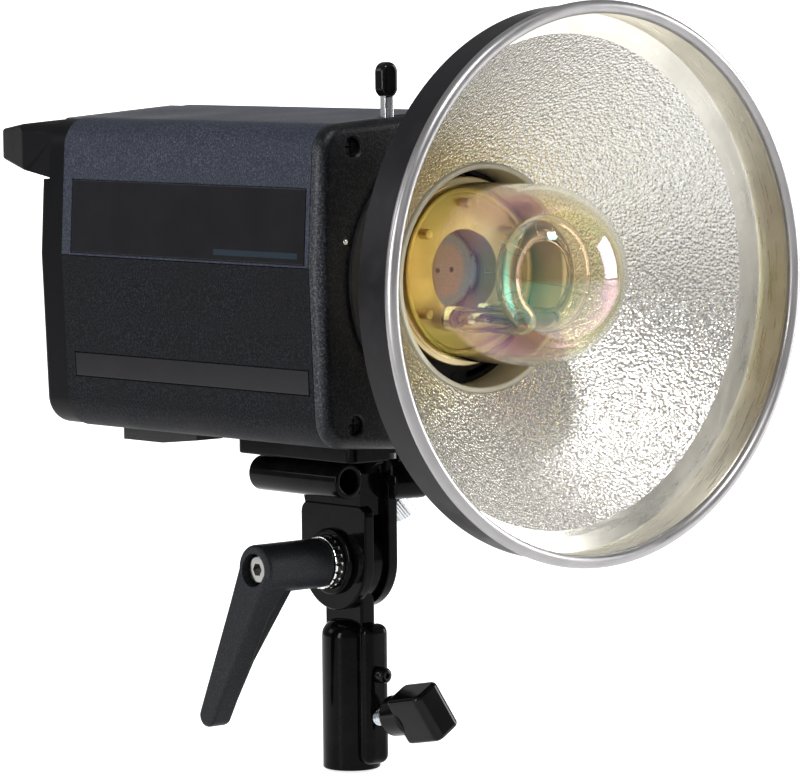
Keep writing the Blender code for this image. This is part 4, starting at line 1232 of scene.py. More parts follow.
    def tube(self, finishes: Finishes) -> Object:
        """Builds the hollow quartz tube.

        Args:
            finishes: The shared finishes.

        Returns:
            The piece.
        """
        line = self.centre_line()
        wall = swept(line, self.ring_tube, 28)
        inside = [line[0].lerp(line[1], 0.6)] + line[1:-1] + [line[-1].lerp(line[-2], 0.6)]
        hollow = swept(inside, self.ring_tube - 0.0011, 28)
        bmesh.ops.reverse_faces(hollow, faces=hollow.faces)
        return piece("ring_tube", moved(merged(wall, hollow), self.centre), [finishes.quartz], "head",
                     ["flash_tube"], weighted=False)

    def wires(self, finishes: Finishes) -> Object:
        """Builds the trigger wire: small hoops on the tube and the strand that joins them.

        Args:
            finishes: The shared finishes.

        Returns:
            The piece.
        """
        start = -math.pi / 2.0 + self.leg_spread
        span = math.tau - 2.0 * self.leg_spread
        parts: list[BMesh] = []
        reach = self.ring_tube + 0.0002
        for share in self.hoop_shares:
            angle = start + span * share
            spoke = Vector((math.cos(angle), 0.0, math.sin(angle)))
            middle = spoke * self.ring_radius + Vector((0.0, self.ring_depth, 0.0))
            hoop = [middle + spoke * reach * math.cos(a) + Vector((0, reach * math.sin(a), 0))
                    for a in (math.tau * k / 28 for k in range(28))]
            parts.append(swept(hoop, self.hoop_wire, 8, closed=True))
            tail = middle + spoke * reach
            parts.append(swept([tail, tail + spoke * 0.0018 + Vector((0, 0.0006, 0))], self.thin_wire, 8))
        inner = self.ring_radius - reach
        strand = [Vector((inner * math.cos(a), self.ring_depth, inner * math.sin(a)))
                  for a in (start + span * (0.10 + 0.80 * k / 40) for k in range(41))]
        parts.append(swept(strand, self.thin_wire, 8))
        drop = strand[0]
        lead = [drop, drop + Vector((-0.001, 0.012, 0.001)), drop + Vector((-0.003, 0.026, 0.003)),
                drop + Vector((-0.004, self.base_front - self.ring_depth - 0.001, 0.004))]
        parts.append(swept(lead, self.thin_wire, 8))
        return piece("trigger_wire", moved(merged(*parts), self.centre), [finishes.wire], "head",
                     weighted=False)

    def caps(self, finishes: Finishes) -> Object:
        """Builds the metal end seals inside the tube's two legs.

        Args:
            finishes: The shared finishes.

        Returns:
            The piece.
        """
        line = self.centre_line()
        parts: list[BMesh] = []
        for end, inner in ((line[0], line[1]), (line[-1], line[-2])):
            way = (inner - end).normalized()
            first = end + way * 0.0022
            parts.append(rod(first, first + way * 0.0095, 0.0019, sides=28, bevel=0.0005))
            parts.append(rod(first + way * 0.0090, first + way * 0.0150, 0.0006, sides=16, bevel=0.0002))
        return piece("tube_electrodes", moved(merged(*parts), self.centre), [finishes.bright], "head",
                     weighted=False)

    def dome(self, finishes: Finishes) -> Object:
        """Builds the glass dome.

        Args:
            finishes: The shared finishes.

        Returns:
            The piece.
        """
        shell: list[list[Pair]] = []
        for radius in (self.dome_radius, self.dome_radius - self.dome_wall):
            side = [(radius, self.base_front - GAP)]
            side += [(radius * math.cos(a), self.dome_centre - radius * math.sin(a))
                     for a in (math.radians(3.75 * k) for k in range(24))]
            side.append((0.0, self.dome_centre - radius))
            shell.append(side)
        bm = spun(shell[0][::-1] + shell[1], 144)
        return piece("dome_glass", moved(bm, self.centre), [finishes.dome], "dome", ["glass_dome"],
                     45.0, weighted=False)

    def socket(self, finishes: Finishes) -> None:
        """Dresses the hazed socket deep in the base."""
        dress(finishes.hazed, "lamp_socket")

    def make(self, finishes: Finishes) -> None:
        """Builds every piece.

        Args:
            finishes: The shared finishes.
        """
        self.plate(finishes)
        self.base(finishes)
        self.tube(finishes)
        self.wires(finishes)
        self.caps(finishes)
        self.dome(finishes)
        self.socket(finishes)


# ---- housing -------------------------------------------------------------------------
@dataclass
class Housing:
    """Two crowned shells, their labels, the front moulding, the rear cover and the handle."""

    half_width: float = 0.0602
    half_corner: float = 0.0576
    top_corner: float = 0.0537
    top_ridge: float = 0.0575
    low_corner: float = -0.0564
    low_ridge: float = -0.0602
    seam: float = 0.0052
    corner_radius: float = 0.0108
    wall: float = 0.0026
    bezel_front: float = 0.0754
    bezel_back: float = 0.0804
    bezel_plate: float = 0.0026
    shell_back: float = 0.2174
    cover_back: float = 0.2320
    label_top: float = 0.0326
    label_low: float = 0.0060
    strip_top: float = -0.0295
    strip_low: float = -0.0385
    label_front: float = 0.0020
    label_back: float = 0.0050
    label_recess: float = 0.0010
    label_under: float = 0.0007
    label_over: float = 0.0001
    label_inset: float = 0.0004
    bezel_rounding: float = 0.0042
    bezel_wall: float = 0.0046
    throat: float = 0.0440
    well_spots: tuple[Pair, ...] = ((-0.0437, 0.0460), (0.0437, 0.0460), (-0.0437, -0.0490),
                                    (0.0437, -0.0490))
    well_radius: float = 0.0034
    well_mouth: float = 0.0041
    pin_spot: Pair = (-0.0480, 0.0140)
    pin_radius: float = 0.0010
    cover_inset: float = 0.0004
    cover_wall: float = 0.0036
    cover_plate: float = 0.0030
    window_half: float = 0.0420
    window_low: float = -0.0400
    window_top: float = 0.0260
    handle_start: float = 0.2264
    handle_end: float = 0.2723
    handle_top: float = 0.0535
    handle_low: float = 0.0323

    def section(self, inset: float = 0.0, part: str = "full") -> tuple[list[Pair], list[float]]:
        """The crowned cross-section's corners and their radii.

        Args:
            inset: How far inside the outer surface.
            part: "full", "upper" or "lower".

        Returns:
            Corners in (x, z), and one radius for each.
        """
        side, corner = self.half_width - inset, self.half_corner - inset
        top, ridge = self.top_corner - inset, self.top_ridge - inset
        low, valley = self.low_corner + inset, self.low_ridge + inset
        radius = self.corner_radius - inset
        upper = [(side, self.seam), (corner, top), (0.0, ridge), (-corner, top), (-side, self.seam)]
        lower = [(-side, self.seam), (-corner, low), (0.0, valley), (corner, low), (side, self.seam)]
        radii = [0.0, radius, 0.0, radius, 0.0]
        if part == "upper":
            return upper, radii
        if part == "lower":
            return lower, radii
        return upper + lower[1:4], radii + radii[1:4]

    def half_outline(self, part: str) -> list[Vector]:
        """One shell's wall: its outer outline out and its inner outline back.

        Args:
            part: Which shell, "upper" or "lower".

        Returns:
            The closed outline.
        """
        outer, outer_radii = self.section(0.0, part)
        inner, inner_radii = self.section(self.wall, part)
        lift = GAP / 2.0 if part == "upper" else -GAP / 2.0
        points = [(x, z + lift if z == self.seam else z) for x, z in outer + inner[::-1]]
        return rounded(points, outer_radii + inner_radii[::-1], 10)

    def band(self, part: str) -> Pair:
        """Top and bottom of the label or strip on one shell."""
        return (self.label_top, self.label_low) if part == "upper" else (self.strip_top, self.strip_low)

    def lock_slot(self) -> BMesh:
        """The gap that the reflector lock's stem swings in."""
        return block((-0.0284, self.bezel_front + self.bezel_plate, 0.0490), (0.0060, 0.0817, 0.0700))

    def lean(self, part: str) -> float:
        """How far one shell's side wall leans from upright.

        Args:
            part: Which shell, "upper" or "lower".

        Returns:
            The angle in radians.
        """
        taper = self.half_width - self.half_corner
        if part == "upper":
            return math.atan2(taper, self.top_corner - self.seam)
        return -math.atan2(taper, self.seam - self.low_corner)

    def shell(self, part: str, finishes: Finishes) -> Object:
        """Builds one shell with its label recesses.

        Args:
            part: Which shell, "upper" or "lower".
            finishes: The shared finishes.

        Returns:
            The piece.
        """
        front, back = self.bezel_back + GAP / 2.0, self.shell_back - GAP / 2.0
        bm = slab(self.half_outline(part), front, back)
        top, low = self.band(part)
        steps = []
        for side in Side:
            spin = Matrix.Rotation(-side.value * self.lean(part), 3, "Y")
            first, last = sorted((-side.value * self.label_recess, side.value * 0.01))
            tool = block((first, front + self.label_front, low - self.seam),
                         (last, back - self.label_back, top - self.seam))
            place = Vector((side.value * self.half_width, 0.0, self.seam))
            steps.append((Join.CUT, moved(tool, place, spin)))
        if part == "upper":
            steps.append((Join.CUT, self.lock_slot()))
        else:
            for y in BRACKET_SCREWS:
                steps.append((Join.CUT, rod((0, y, -0.08), (0, y, -0.05), BRACKET_SCREW_HOLE)))
        # The upper shell wears the paint lightened as painted sheen, the lower a darker copy as painted
        # shade.
        look = finishes.shell if part == "upper" else finishes.low_shell_painted_shade
        return piece(part + "_shell_fine", moved(carved(bm, *steps)), [look], "head", [part + "_shell"],
                     30.0)

    def panel(self, part: str, side: Side, finishes: Finishes) -> Object:
        """Builds one glossy overlay with rounded edges.

        Args:
            part: Which shell, "upper" or "lower".
            side: Left or right.
            finishes: The shared finishes.

        Returns:
            The piece.
        """
        front = self.bezel_back + GAP / 2.0 + self.label_front
        back = self.shell_back - GAP / 2.0 - self.label_back
        top, low = self.band(part)
        spin = Matrix.Rotation(-side.value * self.lean(part), 3, "Y")
        first, last = sorted((-side.value * self.label_under, side.value * self.label_over))
        inset = self.label_inset
        bm = block((first, front + inset, low + inset - self.seam),
                   (last, back - inset, top - inset - self.seam), 0.00022, 2)
        kind = "label" if part == "upper" else "strip"
        word = side.name.lower()
        look = finishes.label if part == "upper" else finishes.strip
        centre = HEAD + Vector((side.value * self.half_width, 0.0, self.seam))
        return piece(f"{kind}_{word}_fine", moved(bm, centre, spin), [look], "head", [f"{kind}_{word}"])

    def bezel(self, finishes: Finishes) -> Object:
        """Builds the front moulding with its rounded edge and deep screw wells.

        Args:
            finishes: The shared finishes.

        Returns:
            The piece.
        """
        points, radii = self.section()
        front = self.bezel_front
        bm = slab(rounded(points, radii, 12), front, self.bezel_back - GAP / 2.0,
                  low_bevel=self.bezel_rounding, segments=7)
        inner, inner_radii = self.section(self.bezel_wall)
        steps = [(Join.CUT, slab(rounded(inner, inner_radii, 8), front + self.bezel_plate, 0.09)),
                 (Join.CUT, rod((0, 0.07, 0), (0, 0.09, 0), self.throat, sides=128)),
                 (Join.CUT, self.lock_slot())]
        for x, z in self.well_spots:
            steps.append((Join.CUT, rod((x, 0.07, z), (x, 0.09, z), self.well_radius, sides=40)))
            mouth = rod((x, front - 0.0001, z), (x, front + 0.0006, z), self.well_mouth, self.well_radius,
                        sides=40)
            steps.append((Join.CUT, mouth))
        return piece("bezel_fine", moved(carved(bm, *steps)), [finishes.bezel], "head", ["front_bezel"],
                     32.0)

    def bezel_pin(self, finishes: Finishes) -> Object:
        """Builds the small bright pin on the moulding's face.

        Args:
            finishes: The shared finishes.

        Returns:
            The piece.
        """
        x, z = self.pin_spot
        bm = rod((x, self.bezel_front - 0.0006, z), (x, self.bezel_front + 0.0004, z), self.pin_radius,
                 sides=24, bevel=0.0003)
        return piece("bezel_pin", moved(bm), [finishes.bright], "head", weighted=False)

    def cover(self, finishes: Finishes) -> Object:
        """Builds the rear cover with its panel window.

        Args:
            finishes: The shared finishes.

        Returns:
            The piece.
        """
        points, radii = self.section(self.cover_inset)
        bm = slab(rounded(points, radii, 12), self.shell_back + GAP / 2.0, self.cover_back,
                  high_bevel=0.0035, segments=6)
        inner, inner_radii = self.section(self.cover_wall)
        window = rounded([(-self.window_half, self.window_low), (self.window_half, self.window_low),
                          (self.window_half, self.window_top), (-self.window_half, self.window_top)],
                         [0.003] * 4)
        hollow = slab(rounded(inner, inner_radii, 8), 0.21, self.cover_back - self.cover_plate)
        steps = [(Join.CUT, hollow), (Join.CUT, slab(window, 0.22, 0.24))]
        for side in Side:
            low, high = sorted((side.value * 0.0472, side.value * 0.0640))
            steps.append((Join.CUT, block((low, self.handle_start - GAP, self.handle_low - GAP),
                                          (high, 0.2400, 0.0640))))
        return piece("rear_cover_fine", moved(carved(bm, *steps)), [finishes.cover], "head", ["rear_cover"],
                     32.0)

    def handle(self, finishes: Finishes) -> Object:
        """Builds the carrying handle: two arms that lean in to a bar.

        Args:
            finishes: The shared finishes.

        Returns:
            The piece.
        """
        corner, start, end = self.half_corner, self.handle_start, self.handle_end
        left = rounded([(-corner + 0.0004, start), (-0.0560, 0.2452), (-0.0450, end), (0.0, 0.2745),
                        (0.0, 0.2640), (-0.0400, 0.2620), (-0.0470, 0.2440), (-0.0480, start)],
                       [0, 0.006, 0.004, 0, 0, 0.003, 0.004, 0], 6)
        split = next(i for i, p in enumerate(left) if abs(p.x) < 1e-6)
        half = [p for p in left if p.x < -1e-6]
        outer, inner = half[:split], half[split:]
        outline = outer + [Vector((-p.x, p.y)) for p in reversed(outer)]
        outline += [Vector((-p.x, p.y)) for p in reversed(inner)] + inner
        bm = slab(outline, -1.0, 1.0, Axis.Z)
        for vert in bm.verts:
            share = min(max((vert.co.y - start) / (end - start), 0.0), 1.0)
            top, low = self.handle_top - 0.0044 * share, self.handle_low + 0.0056 * share
            vert.co.z = top if vert.co.z > 0 else low
        rims = [e for e in bm.edges if abs(e.verts[0].co.z - e.verts[1].co.z) < 0.003 and
                min(v.co.y for v in e.verts) > 0.2300]
        round_edges(bm, rims, 0.0012, 3)
        points, radii = self.section(0.0006)
        keep = slab(rounded(points, radii, 12), 0.21, 0.30)
        return piece("handle_fine", moved(carved(bm, (Join.KEEP, keep))), [finishes.cover], "head",
                     ["rear_handle"], 32.0)

    def make(self, finishes: Finishes) -> None:
        """Builds every piece.

        Args:
            finishes: The shared finishes.
        """
        for part in ("upper", "lower"):
            self.shell(part, finishes)
            for side in Side:
                self.panel(part, side, finishes)
        self.bezel(finishes)
        self.bezel_pin(finishes)
        self.cover(finishes)
        self.handle(finishes)
        dress(finishes.rubber, "foot_left", "foot_right")
        dress(finishes.black_steel, "bezel_screw_1", "bezel_screw_2", "bezel_screw_3", "bezel_screw_4")


# ---- reflector lock ------------------------------------------------------------------
@dataclass
class ReflectorLock:
    """Flat ring behind the front moulding, its bright stem and the flat oval knob."""

    front: float = 0.0783
    thick: float = 0.0028
    bore: float = 0.0445
    radius: float = 0.0505
    ring_thick: float = 0.0022
    stem_left: float = -0.0266
    stem_right: float = -0.0226

    def stem(self, finishes: Finishes) -> Object:
        """Builds the ring and its stem as one sheet part.

        Args:
            finishes: The shared finishes.

        Returns:
            The piece.
        """
        back = self.front + self.ring_thick
        ring = spun(rounded([(self.bore, self.front), (self.radius, self.front), (self.radius, back),
                             (self.bore, back)], [0.0003] * 4, 2), 128)
        stem = block((self.stem_left, self.front, 0.0405),
                     (self.stem_right, self.front + self.thick, 0.0660), 0.0004, 2)
        return piece("lock_ring_fine", moved(carved(ring, (Join.ADD, stem))), [finishes.steel],
                     "reflector_lock", ["lock_ring"])

    def knob(self, finishes: Finishes) -> Object:
        """Builds the flat oval knob.

        Args:
            finishes: The shared finishes.

        Returns:
            The piece.
        """
        outline = rounded([(-0.0284, 0.0623), (-0.0212, 0.0623), (-0.0212, 0.0746), (-0.0284, 0.0746)],
                          [0.0035, 0.0035, 0.00355, 0.00355], 10)
        bm = slab(outline, self.front - 0.0013, self.front + 0.0041, low_bevel=0.0016, high_bevel=0.0016)
        slot = block((self.stem_left - GAP, self.front - GAP, 0.0600),
                     (self.stem_right + GAP, self.front + self.thick + GAP, 0.0663))
        return piece("lock_knob_fine", moved(carved(bm, (Join.CUT, slot))), [finishes.knob],
                     "reflector_lock", ["lock_knob"])

    def make(self, finishes: Finishes) -> None:
        """Builds every piece."""
        self.stem(finishes)
        self.knob(finishes)


# ---- tilt clamp ----------------------------------------------------------------------
@dataclass
class TiltClamp:
    """Cast yoke under the housing, and the lever, screw and insert that clamp it."""

    tongue_half: float = 0.0032
    ear: float = 0.00425
    ear_radius: float = 0.0175
    stand_depth: float = 0.1305
    pivot_drop: float = -0.1032
    stud: float = 0.0040
    hub_radius: float = 0.0088
    hub_inner: float = 0.0145
    hub_outer: float = 0.0418
    arm: float = 0.0575
    arm_lean: float = math.radians(22.0)
    near_top: float = -0.0826
    far_top: float = -0.0726
    ear_corner: float = 0.004
    boss_radius: float = 0.0119
    insert_radius: float = 0.0095
    splines: int = 20
    spline_circle: float = 0.0099

    @property
    def inner(self) -> float:
        """Inner face of each ear."""
        return self.tongue_half + GAP

    @property
    def outer(self) -> float:
        """Outer face of each ear."""
        return self.inner + self.ear

    def ear_outline(self, top: float) -> list[Vector]:
        """Side view of an ear in (y, z) about the mouth's centre.

        Args:
            top: Height of its upper end.

        Returns:
            The outline's points.
        """
        foot = [Vector((self.stand_depth + self.ear_radius * math.cos(a),
                        self.pivot_drop + self.ear_radius * math.sin(a)))
                for a in (math.pi + math.pi * k / 40 for k in range(41))]
        corner = self.ear_corner
        for y, start in ((self.stand_depth + self.ear_radius - corner, 0.0),
                         (self.stand_depth - self.ear_radius + corner, 90.0)):
            foot += [Vector((y + corner * math.cos(math.radians(start + 11.25 * k)),
                             top - corner + corner * math.sin(math.radians(start + 11.25 * k))))
                     for k in range(9)]
        return foot

    def yoke(self, finishes: Finishes) -> Object:
        """Builds the yoke: deck, web, two ears, boss and the lug for the knurled screw.

        Args:
            finishes: The shared finishes.

        Returns:
            The piece.
        """
        pivot = PIVOT - HEAD
        soft = 0.0007

        def at(x: float) -> Vector:
            """Point on the tilt axis."""
            return pivot + Vector((x, 0.0, 0.0))

        near = slab(self.ear_outline(self.near_top), -self.outer, -self.inner, Axis.X, soft, 0.0004, 3)
        far = slab(self.ear_outline(self.far_top), self.inner, self.outer, Axis.X, 0.0004, soft, 3)
        web = slab([(0.1160, -0.0690), (0.1160, -0.0862), (0.1450, -0.0862), (0.1500, -0.0690)],
                   -self.outer + 0.0004, self.outer - 0.0008, Axis.X)
        deck = slab(rounded([(0.1075, -0.0612), (0.1075, -0.0668), (0.1105, -0.0690), (0.1135, -0.0712),
                             (0.1525, -0.0712), (0.1560, -0.0690), (0.1650, -0.0668), (0.1665, -0.0612)],
                            [0.0, 0.001, 0.002, 0.001, 0.001, 0.002, 0.001, 0.0], 4), -0.0068, 0.0135, Axis.X,
                    0.0006, 0.0006, 2)
        plan = rounded([(-0.0200, 0.1060), (0.0200, 0.1060), (0.0200, 0.1690), (-0.0200, 0.1690)],
                       [0.003] * 4)
        wings = slab(plan, -0.0662, -0.0606, Axis.Z, low_bevel=0.0008, segments=3)
        lug = rod((0.004, 0.1145, -0.0745), (0.0185, 0.1110, -0.0745), 0.0066, bevel=0.0018, segments=4)
        root, face = -self.inner - 0.001, -self.outer - 0.0023
        boss = spun(rounded([(0.0, root), (self.boss_radius, root), (self.boss_radius, face), (0.0, face)],
                            [0.0, 0.0, 0.0011, 0.0], 6), 96, pivot, Axis.X)
        dish = rod(at(-self.outer - 0.0002), at(-0.03), self.insert_radius + GAP, sides=96)
        steps = [(Join.ADD, far), (Join.ADD, web), (Join.ADD, deck), (Join.ADD, wings), (Join.ADD, lug),
                 (Join.ADD, boss), (Join.CUT, dish),
                 (Join.CUT, rod(at(-0.03), at(0.03), self.stud + GAP, sides=64))]
        for y in BRACKET_SCREWS:
            steps.append((Join.CUT, rod((0, y, -0.0720), (0, y, -0.0550), BRACKET_SCREW_HOLE)))
            steps.append((Join.CUT, rod((0, y, -0.0720), (0, y, -0.0632), 0.0041)))
        first, last = UMBRELLA_SCREW - UMBRELLA_SCREW_WAY * 0.0190, UMBRELLA_SCREW + UMBRELLA_SCREW_WAY * 0.01
        steps.append((Join.CUT, rod(first, last, 0.0023, sides=32)))
        return piece("yoke_casting", moved(carved(near, *steps)), [finishes.enamel], "head", ["tilt_bracket"],
                     38.0)

    def insert(self, finishes: Finishes) -> Object:
        """Builds the bright splined insert that the lever lifts from.

        Args:
            finishes: The shared finishes.

        Returns:
            The piece.
        """
        low = -self.outer - 0.0005
        face, radius = -self.hub_inner + GAP, self.insert_radius
        flange = spun(rounded([(0.0, low), (radius, low), (radius, face), (0.0, face)],
                              [0.0, 0.0006, 0.0006, 0.0], 3), 96, (0, 0, 0), Axis.X)
        steps = [(Join.ADD, rod((-self.outer - 0.002, 0, 0), (-0.0182, 0, 0), 0.0052)),
                 (Join.CUT, rod((0.0, 0, 0), (-self.hub_inner + GAP, 0, 0), self.stud + GAP)),
                 (Join.CUT, rod((-0.0152, 0, 0), (-0.03, 0, 0), 0.0018))]
        for k in range(self.splines):
            angle = math.tau * k / self.splines
            spot = Vector((-0.0112, self.spline_circle * math.cos(angle),
                           self.spline_circle * math.sin(angle)))
            steps.append((Join.CUT, rod(spot, spot - Vector((0.0060, 0, 0)), 0.00075, sides=12)))
        return piece("splined_insert", moved(carved(flange, *steps), PIVOT), [finishes.bright],
                     "clamp_screw", ["clamp_insert"])

    def lever(self, finishes: Finishes) -> Object:
        """Builds the lever: a round hub with a dished end and a tapering arm.

        Args:
            finishes: The shared finishes.

        Returns:
            The piece.
        """
        hub = spun(rounded([(0.0, -self.hub_inner), (self.hub_radius, -self.hub_inner),
                            (self.hub_radius, -self.hub_outer - 0.0027), (0.0, -self.hub_outer - 0.0027)],
                           [0.0, 0.0006, 0.0016, 0.0], 5), 96, (0, 0, 0), Axis.X)
        cosine, sine = math.cos(self.arm_lean), math.sin(self.arm_lean)
        half = [(-0.001, 0.0078), (0.006, 0.0076), (0.016, 0.0068), (self.arm, 0.0043)]
        tip = [(self.arm + 0.0040 * math.sin(a), 0.0043 * math.cos(a))
               for a in (math.pi * k / 14 for k in range(1, 14))]
        along = half + tip + [(s, -w) for s, w in reversed(half)]
        outline = [(s * sine + w * cosine, -s * cosine + w * sine) for s, w in along]
        arm = slab(outline, -0.0447, -0.0360, Axis.X, 0.0013, 0.0011, 3)
        slope = 0.0050 / self.arm
        for vert in arm.verts:
            down = max(0.0, -vert.co.z)
            vert.co.x -= slope * down
            if vert.co.x > -0.0405:
                vert.co.x += 0.0105 * max(0.0, 1.0 - down / 0.016) ** 2
        dish = spun([(0.0, -0.0285), (0.0058, -0.0285), (0.0058, -0.0443), (0.0068, -0.0500),
                     (0.0, -0.0500)], 64, (0, 0, 0), Axis.X)
        steps = [(Join.ADD, arm), (Join.CUT, rod((0, 0, 0), (-0.0250, 0, 0), 0.0055)),
                 (Join.CUT, rod((-0.02, 0, 0), (-0.06, 0, 0), 0.0019)), (Join.CUT, dish)]
        return piece("clamp_lever_fine", moved(carved(hub, *steps), PIVOT), [finishes.lever], "lever",
                     ["clamp_lever"], 40.0)

    def cap(self, finishes: Finishes) -> Object:
        """Builds the socket cap screw in the hub's end.

        Args:
            finishes: The shared finishes.

        Returns:
            The piece.
        """
        head = spun(rounded([(0.0, -0.0370), (0.0052, -0.0370), (0.0052, -0.0428), (0.0, -0.0428)],
                            [0.0, 0.0004, 0.0009, 0.0], 5), 64, (0, 0, 0), Axis.X)
        steps = [(Join.ADD, rod((-0.0155, 0, 0), (-0.0380, 0, 0), 0.0015)),
                 (Join.CUT, rod((-0.0398, 0, 0), (-0.05, 0, 0), 0.0024, sides=6))]
        return piece("cap_screw_fine", moved(carved(head, *steps), PIVOT), [finishes.black_bright],
                     "clamp_screw", ["lever_cap_screw"])

    def make(self, finishes: Finishes) -> None:
        """Builds every piece.

        Args:
            finishes: The shared finishes.
        """
        self.yoke(finishes)
        self.insert(finishes)
        self.lever(finishes)
        self.cap(finishes)
        dress(finishes.steel, "clamp_stud", "tilt_nut", "lever_spring")
        dress(finishes.black_steel, "bracket_screw_front", "bracket_screw_rear")


# ---- umbrella holder -----------------------------------------------------------------
@dataclass
class UmbrellaHolder:
    """Tube for an umbrella's shaft, and the knurled screw that grips it."""

    x: float = -0.0146
    z: float = -0.0730
    radius: float = 0.00635
    bore: float = 0.0043
    front: float = 0.1132
    back: float = 0.1616
    head_radius: float = 0.0060
    ridge: float = 0.0002
    ridges: int = 40

    def tube(self, finishes: Finishes) -> Object:
        """Builds the tube with rounded ends.

        Args:
            finishes: The shared finishes.

        Returns:
            The piece.
        """
        profile = rounded([(self.bore, self.front), (self.radius, self.front), (self.radius, self.back),
                           (self.bore, self.back)], [0.0005, 0.0008, 0.0014, 0.0004], 6)
        return piece("umbrella_tube_fine", moved(spun(profile, 96, (self.x, 0.0, self.z))), [finishes.enamel],
                     "head", ["umbrella_tube"], weighted=False)

    def screw(self, finishes: Finishes) -> Object:
        """Builds the knurled screw.

        Args:
            finishes: The shared finishes.

        Returns:
            The piece.
        """
        outline = []
        for k in range(self.ridges * 2):
            reach = self.head_radius + (self.ridge if k % 2 else 0.0)
            angle = math.pi * k / self.ridges
            outline.append((reach * math.cos(angle), reach * math.sin(angle)))
        head = slab(outline, -0.0040, 0.0046, Axis.Z, 0.0005, 0.0005, 2)
        steps = [(Join.ADD, rod((0, 0, -0.0058), (0, 0, -0.0030), 0.0040, sides=40, bevel=0.0004)),
                 (Join.ADD, rod((0, 0, -0.0160), (0, 0, -0.0040), 0.0020, sides=32)),
                 (Join.CUT, block((-0.008, -0.0006, 0.0034), (0.008, 0.0006, 0.0060)))]
        bm = carved(head, *steps)
        turn = Vector((0, 0, 1)).rotation_difference(UMBRELLA_SCREW_WAY).to_matrix()
        return piece("knurled_screw", moved(bm, HEAD + UMBRELLA_SCREW, turn), [finishes.steel],
                     "umbrella_screw", ["umbrella_lock_screw"])

    def make(self, finishes: Finishes) -> None:
        """Builds every piece."""
        self.tube(finishes)
        self.screw(finishes)


